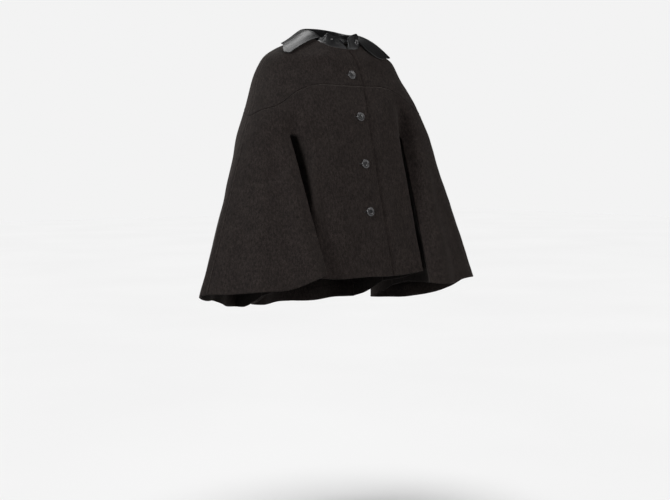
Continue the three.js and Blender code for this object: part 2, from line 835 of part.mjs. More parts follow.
buttonHeights.forEach((z, place) => {
  const point = frontLine(z);
  const down = frontLine(z - buttonRadius).sub(frontLine(z + buttonRadius)).normalize();
  const facing = new THREE.Vector3(1, 0, 0).cross(down).negate();
  if (facing.y > 0) facing.negate();
  point.addScaledVector(facing, woolThickness / 2);
  placeButton(`button_${place + 1}`, buttonRadius, point, facing);
});

// The neck button sits on the left end of the stand.
const neckColumn = { angle: neckButtonTurn, region: 'body' };
const neckBase = upperPoint(quarters[1], neckColumn, 0);
const neckTop = standTop(quarters[1], neckColumn, neckBase);
const neckAside = { angle: neckButtonTurn + neckAsideTurn, region: 'body' };
const neckRound = upperPoint(quarters[1], neckAside, 0).sub(neckBase);
const neckFacing = neckTop.clone().sub(neckBase).cross(neckRound).normalize();
if (neckFacing.y > 0) neckFacing.negate();
const neckPoint = neckBase.clone().lerp(neckTop, neckButtonRise);
neckPoint.addScaledVector(neckFacing, leatherThickness / 2);
placeButton('neck_button', neckButtonRadius, neckPoint, neckFacing);

export default group;
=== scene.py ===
# %% [markdown]
# # A wool cape coat with a leather collar
# The coat has the form that it takes when worn, hollow and open at neck, hem and cuffs. It is built the
# way a tailor builds it: yokes over the shoulders, fronts and a back that are cut in one with wide bell
# sleeves, a collar stand with a leaf that turns down, and four buttons down the front.
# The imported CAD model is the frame: each cloth piece here follows the same sections and seams on a finer
# grid, so it lies where its solid lies.

import math

import bmesh
import bpy
import numpy as np
from mathutils import Matrix, Vector
from mathutils.bvhtree import BVHTree


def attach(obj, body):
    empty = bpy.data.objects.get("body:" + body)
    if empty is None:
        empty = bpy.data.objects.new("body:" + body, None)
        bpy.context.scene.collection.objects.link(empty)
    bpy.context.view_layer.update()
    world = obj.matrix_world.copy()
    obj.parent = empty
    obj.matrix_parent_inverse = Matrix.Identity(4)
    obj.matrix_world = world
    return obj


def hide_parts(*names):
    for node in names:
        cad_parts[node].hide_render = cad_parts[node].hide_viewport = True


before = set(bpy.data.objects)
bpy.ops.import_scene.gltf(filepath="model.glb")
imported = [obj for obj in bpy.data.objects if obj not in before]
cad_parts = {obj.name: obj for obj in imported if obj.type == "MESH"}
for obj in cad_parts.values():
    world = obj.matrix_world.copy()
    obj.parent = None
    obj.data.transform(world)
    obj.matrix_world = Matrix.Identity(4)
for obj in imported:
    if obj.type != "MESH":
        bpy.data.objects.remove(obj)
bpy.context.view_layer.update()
print("nodes:", sorted(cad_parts))

# %% [markdown]
# ## Sizes
# All lengths are millimetres until a mesh is made. +Z is up, the front faces -Y, and "out" is the
# distance in front of the coat's axis. The tables are those of the solids: rings round the shoulders,
# the curved seam under the yoke, the free edge of the lap, and the hems.

# %% Sizes of the cloth
MM = 0.001
WOOL = 2.6
LEATHER = 2.2
HEM_TURN = 40
HEM_EXTRA = 2.0
FACING = 62
FACING_EXTRA = 1.4
LAP_STEP = 5.4
UNDERARM_Z = -302
UNDERARM_X = 240
UNDERARM_HALF = 8
PULL_IN = 17
PUSH_OUT = 18
RIGHT_GAPE = 24
PULL_SOONNESS = 0.6
GAPE_SOONNESS = 0.4
FOLD_HALF_ANGLE = 1.8
FOLD_BORDER = 0.1
FOLD_RUN_IN = 380


def table(names, *rows):
    """A table with named columns, as arrays."""
    return dict(zip(names.split(), np.array(rows, float).T))


SECTIONS = table(
    "level crestX crestOut crestZ frontOut frontZ backOut backZ power",
    (0, 86, 0, -7, 80, -38, -70, 5, 2.6),
    (1, 132, 0, -21, 84, -49, -84, -14, 2.3),
    (2, 186, 0, -41, 88, -60, -98, -40, 2.2),
    (3, 236, 0, -70, 92, -70, -110, -70, 2.15),
    (4, 256, 1, -107, 102, -107, -122, -107, 2.15),
    (5, 277, 11, -151, 117, -151, -133, -151, 2.2),
    (6, 300, 29, -205, 136, -205, -144, -205, 2.2),
    (7, 321, 38, -255, 150, -255, -152, -255, 2.2),
    (8, 343, 45, -302, 158, -302, -158, -302, 2.1),
)
LAST_LEVEL = 8
FIRST_FLAT_LEVEL = 3
HALVINGS = 30
YOKE_SEAM = table(
    "angle frontZ backZ",
    (0, -154, -168),
    (18, -153, -167),
    (28, -157, -170),
    (36, -168, -178),
    (42, -179, -188),
    (48, -196, -200),
    (53, -212, -212),
    (60, -224, -224),
    (74, -234, -238),
    (90, -252, -252),
)
LAP_EDGE = table(
    "z x",
    (-38, 3),
    (-60, 15),
    (-95, 27),
    (-121, 31),
    (-151, 32),
    (-205, 30),
    (-248, 28),
    (-302, 29),
)
LAP_EDGE_AT_HEM = 62
UNDERLAP = 25
UNDERLAP_AT_HEM = 30
LAP_BLEND = 38
FULL_WIDTH_CREST = 300
NARROWEST_SHARE = 0.3
HEM_COLUMNS = "share x out z rightLift"
HEMS = {
    "frontBody": table(
        HEM_COLUMNS,
        (0, 0, 226, -717, 0),
        (0.53, 120, 223, -715, 0),
        (0.78, 175, 218, -712, 0),
        (0.89, 198, 206, -711, 0),
        (1, 209, 185, -714, 0),
    ),
    "frontBodySide": table(
        HEM_COLUMNS,
        (0, 209, 185, -714, 0),
        (0.2, 214, 148, -722, 0),
        (0.5, 215, 95, -738, 0),
        (1, 212, 0, -758, 0),
    ),
    "backBody": table(
        HEM_COLUMNS,
        (0, 0, -188, -824, 0),
        (0.4, 88, -184, -824, 0),
        (0.76, 160, -165, -822, 0),
        (1, 196, -132, -818, 0),
    ),
    "backBodySide": table(
        HEM_COLUMNS,
        (0, 196, -132, -818, 0),
        (0.35, 210, -85, -801, 0),
        (1, 212, 0, -758, 0),
    ),
    "frontSleeve": table(
        HEM_COLUMNS,
        (0, 195, 245, -746, 48),
        (0.12, 240, 257, -748, 38),
        (0.29, 300, 245, -747, 20),
        (0.49, 370, 213, -744, 6),
        (0.71, 440, 165, -745, 2),
        (0.9, 486, 112, -748, 0),
        (1, 508, 80, -752, 0),
    ),
    "frontSleeveSide": table(
        HEM_COLUMNS,
        (0, 195, 245, -746, 48),
        (0.16, 221, 215, -747, 40),
        (0.38, 233, 160, -748, 20),
        (0.61, 240, 100, -752, 6),
        (1, 250, 0, -775, 0),
    ),
    "backSleeve": table(
        HEM_COLUMNS,
        (0, 264, -126, -822, 4),
        (0.13, 302, -117, -824, 12),
        (0.26, 340, -97, -824, 24),
        (0.51, 408, -44, -818, 36),
        (0.81, 478, 26, -790, 25),
        (1, 508, 80, -752, 0),
    ),
    "backSleeveSide": table(
        HEM_COLUMNS,
        (0, 264, -126, -822, 4),
        (0.3, 254, -92, -816, 0),
        (0.63, 250, -50, -799, 0),
        (1, 250, 0, -775, 0),
    ),
}
BODY_SPREAD = table(
    "share hemShare",
    (0, 0),
    (0.25, 0.22),
    (0.4, 0.48),
    (0.55, 0.66),
    (0.7, 0.82),
    (0.85, 0.92),
    (1, 1),
)
QUARTERS = {
    "frontRight": {"face": "front", "hand": "right", "side": -1},
    "frontLeft": {"face": "front", "hand": "left", "side": 1},
    "backRight": {"face": "back", "hand": "right", "side": -1},
    "backLeft": {"face": "back", "hand": "left", "side": 1},
}
DRAG_FOLDS = {
    "frontRight": {"angle": 40, "depth": 12, "width": 7, "top": -215},
    "frontLeft": {"angle": 36.5, "depth": 56, "width": 7, "top": -172},
    "backRight": {"angle": 40, "depth": 22, "width": 8, "top": -190},
    "backLeft": {"angle": 40, "depth": 26, "width": 8, "top": -190},
}
# stretch, share along it, width, depth (negative is a trough), height of its top
HANGING_FOLDS = (
    ("frontRightSleeve", 0.31, 0.13, -11, -190),
    ("frontRightSleeve", 0.53, 0.12, 7, -330),
    ("frontRightSleeve", 0.73, 0.12, -9, -400),
    ("frontLeftSleeve", 0.36, 0.13, -10, -250),
    ("frontLeftSleeve", 0.66, 0.14, 8, -380),
    ("backRightSleeve", 0.3, 0.13, -13, -300),
    ("backRightSleeve", 0.62, 0.14, -10, -380),
    ("backLeftSleeve", 0.36, 0.13, -12, -280),
    ("backLeftSleeve", 0.68, 0.13, -9, -400),
    ("frontRightBody", 0.6, 0.14, -5, -470),
    ("backRightBody", 0.2, 0.16, 9, -330),
    ("backRightBody", 0.55, 0.16, -14, -260),
    ("backRightBody", 0.85, 0.14, 8, -400),
    ("backLeftBody", 0.26, 0.16, -11, -300),
    ("backLeftBody", 0.6, 0.16, 11, -360),
)
print("section rows:", len(SECTIONS["level"]), "hems:", len(HEMS))

# %% [markdown]
# ## Reading the tables
# A tailor's curve runs through a few measured points without bumps between them. `read` does the same:
# it is a cubic through the rows of a table that never swings past them.


# %% Smooth reading
def ease(share):
    held = np.clip(share, 0, 1)
    return held * held * (3 - 2 * held)


def hermite(start, end, leave, arrive, t):
    rise = end - start
    return start + rise * t + t * (1 - t) * ((leave - rise) * (1 - t) - (arrive - rise) * t)


def slopes(step):
    """Slopes at the rows, from the steps between them along the first axis, with no overshoot."""
    before, after = step[:-1], step[1:]
    same = before * after > 0
    mean = np.where(same, 2 * before * after / np.where(same, before + after, 1), 0)
    return np.concatenate([step[:1], mean, step[-1:]])


def read(rows, key, name, value):
    places, values = rows[key], rows[name]
    if places[1] < places[0]:
        places, values = places[::-1], values[::-1]
    slope = slopes(np.diff(values) / np.diff(places))
    row = np.clip(np.searchsorted(places, value, side="right") - 1, 0, len(places) - 2)
    span = places[row + 1] - places[row]
    t = np.clip((value - places[row]) / span, 0, 1)
    return hermite(values[row], values[row + 1], slope[row] * span, slope[row + 1] * span, t)


def between(control, place):
    """Layers of control values, read smoothly at the places of the fine columns among them."""
    step = np.diff(control, axis=0)
    slope = slopes(step)
    low = np.clip(place.astype(int), 0, len(step) - 1)
    t = place - low
    index = np.broadcast_to(low, control.shape[1:])[None]

    def pick(layers, ahead):
        return np.take_along_axis(layers, index + ahead, 0)[0]

    return hermite(pick(control, 0), pick(control, 1), pick(slope, 0), pick(slope, 1), t)


def level_at(z):
    """The level of the sections at a height under the shoulders."""
    high = np.full(np.shape(z), float(FIRST_FLAT_LEVEL))
    low = np.full(np.shape(z), float(LAST_LEVEL))
    for _ in range(HALVINGS):
        middle = (high + low) / 2
        above = read(SECTIONS, "level", "crestZ", middle) > z
        high = np.where(above, middle, high)
        low = np.where(above, low, middle)
    return (high + low) / 2


print("level at -121 mm:", round(float(level_at(-121.0)), 3))

# %% [markdown]
# ## The upper coat
# From the neck to the underarm the cloth lies in rings round the shoulders. A ring is a squarish oval,
# wide at the sleeves and flat at chest and back. A point of it is given by its angle from the centre
# line and its level. Where the sleeve turns into the body, a drag fold sinks in towards the underarm.


# %% Points of the upper coat
def coat_point(name, angle, level):
    quarter, fold = QUARTERS[name], DRAG_FOLDS[name]

    def at(column):
        return read(SECTIONS, "level", column, level)

    turn = np.radians(np.abs(angle))
    reach = np.sin(turn) ** (2 / at("power"))
    depth = np.abs(np.cos(turn)) ** (2 / at("power"))
    centre_out = at(quarter["face"] + "Out")
    centre_z = at(quarter["face"] + "Z")
    z = centre_z + (at("crestZ") - centre_z) * reach**4
    here = np.exp(-(((angle - fold["angle"]) / fold["width"]) ** 2))
    sink = fold["depth"] * ease((fold["top"] - z) / (fold["top"] - UNDERARM_Z)) * here
    out = at("crestOut") * reach**4 + centre_out * depth - np.sign(centre_out) * sink
    x = quarter["side"] * np.sign(angle) * at("crestX") * reach
    return np.stack(np.broadcast_arrays(x, -out, z), -1)


def angle_of(x, level):
    share = np.abs(x) / read(SECTIONS, "level", "crestX", level)
    return np.degrees(np.arcsin(share ** (read(SECTIONS, "level", "power", level) / 2)))


def line_x(line, level):
    """The sideways place of a line that follows the lap's free edge."""
    z = read(SECTIONS, "level", "frontZ", level)
    edge = read(LAP_EDGE, "z", "x", z)
    crest = read(SECTIONS, "level", "crestX", level)
    narrow = np.clip(crest / FULL_WIDTH_CREST, NARROWEST_SHARE, 1)
    return {
        "edge": edge,
        "half": edge / 2,
        "centre": 0 * edge,
        "under": -UNDERLAP * narrow,
        "near": edge + LAP_BLEND / 2 * narrow,
        "far": edge + LAP_BLEND * narrow,
    }[line]


# %% [markdown]
# ## Columns of points
# Each quarter is drawn by a few control columns: those that follow the lap, those over the body up to the
# drag fold, and those over the sleeve. The fine columns of the mesh run smoothly between them, and stand
# closer where the cloth turns sharply: at the lap's edge, in the underarm fold and at the overarm line.

# %% Control columns and fine columns
LINE_AT_HEM = {
    "edge": LAP_EDGE_AT_HEM,
    "half": LAP_EDGE_AT_HEM / 2,
    "centre": 0,
    "under": -UNDERLAP_AT_HEM,
    "near": LAP_EDGE_AT_HEM + LAP_BLEND / 2,
    "far": LAP_EDGE_AT_HEM + LAP_BLEND,
}
LAYER_SHARE = {"under": 1, "centre": 1, "half": 1, "edge": 1, "near": 0.5, "far": 0}
LAP_LINES = {
    "frontRight": ["edge", "half", "centre", "under"],
    "frontLeft": ["under", "centre", "half", "edge", "near", "far"],
}
SLEEVE_STEPS = 9
BODY_SHARES = [0.25, 0.4, 0.55, 0.7, 0.85, 1]
NEAR_LAP = [0, 0.05, 0.12, 0.22, 0.36, 0.55, 0.75]
NEAR_OVERARM = [0.5, 0.4, 0.3, 0.21, 0.14, 0.08, 0.035, 0]
OVERARM_RUN = 1.42
FIRST_COLUMN = 0.125
BODY_COLUMN = 1 / 7
SLEEVE_COLUMN = 1 / 9
FOLD_COLUMNS = 5


def columns_of(name):
    """The control columns of a quarter, from its centre to the overarm line."""
    fold = DRAG_FOLDS[name]["angle"]
    inner, outer = fold - FOLD_HALF_ANGLE, fold + FOLD_HALF_ANGLE
    shares = BODY_SHARES[1:] if name == "frontLeft" else BODY_SHARES
    columns = [{"line": line, "angle": 0, "share": 0} for line in LAP_LINES.get(name, [])]
    if not columns:
        columns.append({"line": None, "angle": 0, "share": 0})
    columns += [{"line": None, "angle": inner * share, "share": share} for share in shares]
    body = len(columns)
    for step in range(SLEEVE_STEPS + 1):
        share = step / SLEEVE_STEPS
        columns.append({"line": None, "angle": outer + (90 - outer) * share, "share": share})
    return columns, body


def fine_places(count, body, lap):
    """Places of the fine columns among the control columns."""
    start = NEAR_LAP if lap else [0]
    first = 1 if lap else FIRST_COLUMN
    over_body = np.arange(first, body - 1, BODY_COLUMN)
    in_fold = np.linspace(body - 1, body, FOLD_COLUMNS)
    over_sleeve = np.arange(body + SLEEVE_COLUMN, count - OVERARM_RUN, SLEEVE_COLUMN)
    end = count - 1 - np.array(NEAR_OVERARM)
    return np.round(np.concatenate([start, over_body, in_fold, over_sleeve, end]), 6)


def signed_angle(name, columns, place, level):
    side = QUARTERS[name]["side"]
    control = []
    for column in columns:
        if column["line"]:
            x = line_x(column["line"], level)
            control.append(np.sign(side * x) * angle_of(x, level))
        else:
            control.append(np.full(level.shape, float(column["angle"])))
    return between(np.array(control), place)


def steady_columns(values, place):
    """Values that are the same all down each control column."""
    return between(np.array(values, float)[:, None] * np.ones((1, len(place))), place)


print("control columns:", {name: len(columns_of(name)[0]) for name in QUARTERS})

# %% [markdown]
# ## Rows of points down a column
# Cloth needs closer rows where it is sewn or turned: at the seams and at the hem, where 40 mm of the
# wool is folded up inside. `spaced` walks down every column and sets rows at chosen distances from its
# ends, and evenly in between.

# %% Row spacing
SEAM_ROWS = [0, 1.1, 2.4, 4.2, 7, 11]
HEM_ROWS = [0, 1, 2.6, 5.5, 11, 19, 29, 37.5, 39.4, 41.2, 44]
PLAIN = [0]
WALK_STEPS = 61


def arcs(points):
    """Distance along the first axis."""
    step = np.linalg.norm(np.diff(points, axis=0), axis=-1)
    return np.concatenate([np.zeros((1,) + step.shape[1:]), np.cumsum(step, 0)])


def spaced(point_at, count, start, end, columns):
    """Rows down the columns: their shares, points, distances from the top and from the bottom."""
    coarse = np.linspace(0, 1, WALK_STEPS)[:, None] * np.ones((1, columns))
    walked = arcs(point_at(coarse))
    length = walked[-1]
    middle = np.linspace(0, 1, count)[1:-1, None] * (length - start[-1] - end[-1]) + start[-1]
    first = np.array(start, float)[:, None] * np.ones((1, columns))
    last = length - np.array(end[::-1], float)[:, None]
    wanted = np.concatenate([first, middle, last])
    share = np.stack([np.interp(wanted[:, c], walked[:, c], coarse[:, c]) for c in range(columns)], 1)
    return share, point_at(share), wanted, length - wanted


print("rows at a seam:", SEAM_ROWS)

# %% [markdown]
# ## Patches
# A quarter of the coat is six patches: the yoke, the chest down to the underarm, the body and its wrap
# round to the side seam, the sleeve and its wrap, and the narrow bridge at the underarm. Points on
# shared borders come out the same, so the patches can be welded into one skin afterwards.

# %% Patches
FAR = 1000.0
DISTANCES = ("seam", "hem", "edge", "arm")
patches = []


def across(points, from_end):
    """Distance along each row, from its first or its last column."""
    rows = np.swapaxes(points, 0, 1)
    walked = arcs(rows[::-1] if from_end else rows)
    return np.swapaxes(walked[::-1] if from_end else walked, 0, 1)


def add_patch(to, piece, name, region, points, relief=0.0, flip=False, **distances):
    """Adds a grid of points to a list, with each point's distances to seams, hem and free edge."""
    shape = points.shape[:2]
    quarter = QUARTERS[name]
    patch = {"piece": piece, "quarter": name, "region": region, "points": points}
    patch["relief"] = np.broadcast_to(relief, shape)
    for key in DISTANCES:
        patch[key] = np.broadcast_to(distances.get(key, FAR), shape)
    left, back = quarter["hand"] == "left", quarter["face"] == "back"
    patch["mirrored"] = (left != back) != flip
    to.append(patch)
    return patch


def hem_point(name, kind, key, value):
    quarter = QUARTERS[name]
    rows = HEMS[quarter["face"] + kind]
    lift = read(rows, key, "rightLift", value) if quarter["hand"] == "right" else 0
    x = quarter["side"] * read(rows, key, "x", value)
    return np.stack([x, -read(rows, key, "out", value), read(rows, key, "z", value) + lift], -1)


def fall(top, bottom, share, draw_in=0.0, push_out=0.0, gape=0.0):
    """Straight fall from underarm to hem; gape draws it in where the sleeve stands open."""
    pull = np.sin(math.pi * share**PULL_SOONNESS)
    opening = np.sin(math.pi * share**GAPE_SOONNESS) * (1 - share) ** 2
    points = top + (bottom - top) * share[..., None]
    points[..., 0] -= np.sign(points[..., 0]) * (draw_in * pull + gape * opening)
    points[..., 1] -= push_out * pull
    return points


def fold_height(stretch, share, z):
    height = np.zeros(np.shape(z))
    for place, at, width, depth, top in HANGING_FOLDS:
        if place == stretch:
            border = ease(np.minimum(share, 1 - share) / FOLD_BORDER)
            crossing = np.exp(-(((share - at) / width) ** 2))
            height += depth * crossing * border * ease((top - z) / FOLD_RUN_IN)
    return height


print("a patch keeps its distances to:", DISTANCES)

# %% [markdown]
# ## Yoke and chest
# The yoke runs from the neckline to its curved seam, and the chest from there to the underarm. Both lie on
# the rings round the shoulders, with rows close together beside the seam, so that its groove comes out
# as a shape and not as a line of colour.

# %% Yoke and chest
YOKE_ROWS = 44
CHEST_ROWS = 22
TINY = 1e-6


def start_quarter(name):
    """A quarter's columns, and which of them lie over the body and which over the sleeve."""
    quarter = QUARTERS[name]
    front = quarter["face"] == "front"
    columns, body = columns_of(name)
    place = fine_places(len(columns), body, front)
    layer = [LAYER_SHARE.get(c["line"], 0) if name == "frontLeft" else 0 for c in columns]
    return {
        "name": name,
        "front": front,
        "piece": f"front_{quarter['hand']}" if front else "back",
        "yoke": f"yoke_front_{quarter['hand']}" if front else "yoke_back",
        "columns": columns,
        "body": body,
        "place": place,
        "share": steady_columns([c["share"] for c in columns], place),
        "step_back": steady_columns(layer, place) * LAP_STEP,
        "is_body": place <= body - 1 + TINY,
        "is_sleeve": place >= body - TINY,
        "in_fold": (place >= body - 1 - TINY) & (place <= body + TINY),
    }


def free_edge(grid, points):
    return across(points, False) if grid["front"] else FAR


def upper_patches(grid):
    """The yoke and the chest. Gives the yoke's patch and the chest's last row."""
    name, columns, place, share = (grid[key] for key in ("name", "columns", "place", "share"))
    seam_angle = steady_columns([c["angle"] for c in columns], place)
    seam_z = read(YOKE_SEAM, "angle", QUARTERS[name]["face"] + "Z", seam_angle)
    yoke_level = level_at(seam_z)

    def upper(level):
        points = coat_point(name, signed_angle(name, columns, place, level), level)
        points[..., 1] += grid["step_back"]
        return points

    def yoke_at(s):
        return upper(s * yoke_level)

    def chest_at(s):
        return upper(yoke_level + (LAST_LEVEL - yoke_level) * s)

    _, yoke, from_neck, from_seam = spaced(yoke_at, YOKE_ROWS, SEAM_ROWS, SEAM_ROWS, len(place))
    seam = np.minimum(from_neck, from_seam)
    edge, arm = free_edge(grid, yoke), across(yoke, True)
    yoke_patch = add_patch(patches, grid["yoke"], name, "yoke", yoke, seam=seam, edge=edge, arm=arm)

    _, chest, from_seam, _ = spaced(chest_at, CHEST_ROWS, SEAM_ROWS, PLAIN, len(place))
    height = np.where(grid["is_body"], fold_height(name + "Body", share, chest[..., 2]), 0)
    height = np.where(grid["is_sleeve"], fold_height(name + "Sleeve", share, chest[..., 2]), height)
    edge, arm = free_edge(grid, chest), across(chest, True)
    add_patch(patches, grid["piece"], name, "chest", chest, height, seam=from_seam, edge=edge, arm=arm)
    return yoke_patch, chest[-1]


print("rows of the yoke and the chest:", YOKE_ROWS, CHEST_ROWS)

# %% [markdown]
# ## At the underarm
# A bell sleeve that is cut in one with the body needs cloth at the underarm. A narrow bridge runs from the
# foot of the drag fold to the side seam. The body wraps round on one side of it and the sleeve on the
# other, which leaves the long open gap between them.

# %% The bridge
BRIDGE_END = [0.915, 0.945, 0.968, 0.985, 1]
ROUND_IT = np.concatenate([np.linspace(0, 0.88, 23), BRIDGE_END])


def bridge_patch(grid, chest_foot):
    """The bridge from the fold's foot to the side seam. Gives its inner and its outer border."""
    foot = chest_foot[grid["in_fold"]]
    side_x = QUARTERS[grid["name"]]["side"] * (UNDERARM_X + np.array([-UNDERARM_HALF, UNDERARM_HALF]))
    seam_end = np.stack([side_x, 0 * side_x, 0 * side_x + UNDERARM_Z], -1)
    inner = foot[0] + (seam_end[0] - foot[0]) * ROUND_IT[:, None]
    outer = foot[-1] + (seam_end[1] - foot[-1]) * ROUND_IT[:, None]
    width = np.linspace(0, 1, len(foot))[None, :, None]
    bridge = inner[:, None] * (1 - width) + outer[:, None] * width
    bend = foot - (foot[0] + (foot[-1] - foot[0]) * width[0])
    bridge = bridge + bend[None] * ((1 - ROUND_IT) ** 2)[:, None, None]
    to_side = arcs(bridge[::-1])[::-1]
    add_patch(patches, grid["piece"], grid["name"], "bridge", bridge, arm=to_side)
    return inner, outer


print("columns round the underarm:", len(ROUND_IT))

# %% [markdown]
# ## Body and sleeves
# Below the underarm the cloth falls to its hem, whose outline comes from the tables. The body is drawn in
# a little at the underarm, and most on the coat's right, where the sleeve stands open. The hem's rows
# are close together, because the cloth is turned up there.

# %% Body and sleeves
FALL_ROWS = 74
FOLD_PULL_START = 0.6
FOLD_PULL_RUN = 0.4


def body_hem(grid):
    """The hem's points under the columns of the body."""
    name = grid["name"]
    points = []
    for column in grid["columns"][: grid["body"]]:
        if column["line"]:
            x = LINE_AT_HEM[column["line"]]
            point = hem_point(name, "Body", "x", np.array(abs(x), float))
            points.append(np.array([x, point[1], point[2]]))
        else:
            spread = read(BODY_SPREAD, "share", "hemShare", np.array(column["share"]))
            points.append(hem_point(name, "Body", "share", spread))
    place = grid["place"][grid["is_body"]]
    points = np.array(points)
    bottom = np.stack([steady_columns(points[:, axis], place) for axis in range(3)], -1)
    bottom[:, 1] += grid["step_back"][grid["is_body"]]
    return bottom


def body_patches(grid, chest_foot, inner):
    name, piece = grid["name"], grid["piece"]
    top, bottom = chest_foot[grid["is_body"]], body_hem(grid)
    share = grid["share"][grid["is_body"]]
    at_fold = ease((share - FOLD_PULL_START) / FOLD_PULL_RUN)
    push = PUSH_OUT if grid["front"] else 0
    gape = RIGHT_GAPE if name == "frontRight" else 0

    def body_at(s):
        return fall(top, bottom, s, PULL_IN * at_fold, push * at_fold, gape * at_fold)

    _, points, _, from_hem = spaced(body_at, FALL_ROWS, PLAIN, HEM_ROWS, len(top))
    height = fold_height(name + "Body", share, points[..., 2])
    edge = free_edge(grid, points)
    add_patch(patches, piece, name, "body", points, height, hem=from_hem, edge=edge)
    side_bottom = hem_point(name, "BodySide", "share", ROUND_IT)

    def wrap_at(s):
        fade = 1 - ROUND_IT
        return fall(inner, side_bottom, s, PULL_IN, push * fade, gape * fade)

    _, points, _, from_hem = spaced(wrap_at, FALL_ROWS, PLAIN, HEM_ROWS, len(ROUND_IT))
    add_patch(patches, piece, name, "bodyWrap", points, hem=from_hem, arm=across(points, True))


def sleeve_patches(grid, chest_foot, outer):
    name, piece = grid["name"], grid["piece"]
    share = grid["share"][grid["is_sleeve"]]
    top, bottom = chest_foot[grid["is_sleeve"]], hem_point(name, "Sleeve", "share", share)

    def sleeve_at(s):
        return fall(top, bottom, s)

    _, points, _, from_hem = spaced(sleeve_at, FALL_ROWS, PLAIN, HEM_ROWS, len(top))
    height = fold_height(name + "Sleeve", share, points[..., 2])
    arm = across(points, True)
    add_patch(patches, piece, name, "sleeve", points, height, hem=from_hem, arm=arm)
    side_bottom = hem_point(name, "SleeveSide", "share", ROUND_IT)

    def wrap_at(s):
        return fall(outer, side_bottom, s)

    _, points, _, from_hem = spaced(wrap_at, FALL_ROWS, PLAIN, HEM_ROWS, len(ROUND_IT))
    arm = across(points, True)
    add_patch(patches, piece, name, "sleeveWrap", points, flip=True, hem=from_hem, arm=arm)


yoke_patches = {}
for name in QUARTERS:
    grid = start_quarter(name)
    yoke_patches[name], chest_foot = upper_patches(grid)
    inner, outer = bridge_patch(grid, chest_foot)
    body_patches(grid, chest_foot, inner)
    sleeve_patches(grid, chest_foot, outer)
print("patches:", len(patches))

# %% [markdown]
# ## Welding the patches
# The patches become one skin of points and quads. Points in the same cell of a fine grid are one point.
# A point keeps its distances to the seams, the hem and the free edge, because the cloth is shaped there.

# %% Weld
WELD_STEPS = 50
WELD_OFFSET = 0.3183


def weld(patches):
    points = np.concatenate([p["points"].reshape(-1, 3) for p in patches])
    keys = np.floor(points * WELD_STEPS + WELD_OFFSET).astype(np.int64)
    _, first, index = np.unique(keys, axis=0, return_index=True, return_inverse=True)
    index = index.reshape(-1)
    skin = {"points": points[first].copy()}
    skin["relief"] = np.concatenate([p["relief"].reshape(-1) for p in patches])[first]
    for key in DISTANCES:
        values = np.concatenate([p[key].reshape(-1) for p in patches])
        skin[key] = np.full(len(first), FAR)
        np.minimum.at(skin[key], index, values)
    sizes = [p["points"].shape[0] * p["points"].shape[1] for p in patches]
    skin["patch"] = np.repeat(np.arange(len(patches)), sizes)[first]
    quads, owners, start = [], [], 0
    for patch in patches:
        rows, columns = patch["points"].shape[:2]
        patch["ids"] = index[start : start + rows * columns].reshape(rows, columns)
        start += rows * columns
        i = patch["ids"]
        corners = [i[:-1, :-1], i[:-1, 1:], i[1:, 1:], i[1:, :-1]]
        if patch["mirrored"]:
            corners = corners[::-1]
        quads.append(np.stack(corners, -1).reshape(-1, 4))
        owners += [patch["piece"]] * len(quads[-1])
    skin["quads"] = np.concatenate(quads)
    skin["owners"] = np.array(owners)
    return skin


print("cells of the weld:", 1 / WELD_STEPS, "mm")

# %% [markdown]
# ## Easing the skin
# Where two patches meet, the first skin has faint kinks. Real felted wool has none, so every point moves
# a little along its normal towards the middle of its neighbours, a few times over. Points on a free edge
# stay where they are, which keeps the outline.

# %% Ease the skin
WOOL_ROUNDS = 14
LEATHER_ROUNDS = 6
EASING = 0.5


def normals_of(points, quads):
    a, b, c, d = (points[quads[:, k]] for k in range(4))
    faces = np.cross(c - a, d - b)
    total = np.zeros_like(points)
    for k in range(4):
        np.add.at(total, quads[:, k], faces)
    return total / np.maximum(np.linalg.norm(total, axis=1, keepdims=True), 1e-12)


def edge_uses(quads):
    """Every edge once, as a pair of points, with the number of quads that use it."""
    pairs = np.concatenate([quads[:, [k, (k + 1) % 4]] for k in range(4)])
    edges, uses = np.unique(np.sort(pairs, axis=1), axis=0, return_counts=True)
    return edges, uses


def relax(points, quads, rounds, strength):
    """Evens out kinks: each point moves along its normal towards the middle of its neighbours."""
    edges, uses = edge_uses(quads)
    rim = np.zeros(len(points), bool)
    rim[edges[uses == 1].reshape(-1)] = True
    inside = edges[~(rim[edges].any(1) & (uses > 1) & rim[edges].all(1))]
    both = np.concatenate([inside, inside[:, ::-1]])
    count = np.maximum(np.bincount(both[:, 0], minlength=len(points)), 1)[:, None]
    for _ in range(rounds):
        total = np.zeros_like(points)
        np.add.at(total, both[:, 0], points[both[:, 1]])
        move = total / count - points
        normal = normals_of(points, quads)
        along = (move * normal).sum(1, keepdims=True)
        points = points + strength * np.where(rim[:, None], 0, along * normal)
    return points


wool = weld(patches)
normal = normals_of(wool["points"], wool["quads"])
wool["points"] += normal * wool["relief"][:, None]
wool["points"] = relax(wool["points"], wool["quads"], WOOL_ROUNDS, EASING)
print("skin:", len(wool["points"]), "points,", len(wool["quads"]), "quads")

# %% [markdown]
# ## Creases
# Heavy wool makes few and soft creases. Each row of the table is one of them, in its own size: a trough
# or a ridge that follows two or three points, seen from the front or the back, and fades at both ends.
# The hidden sides get the same kind of creases as the side that the photograph shows.

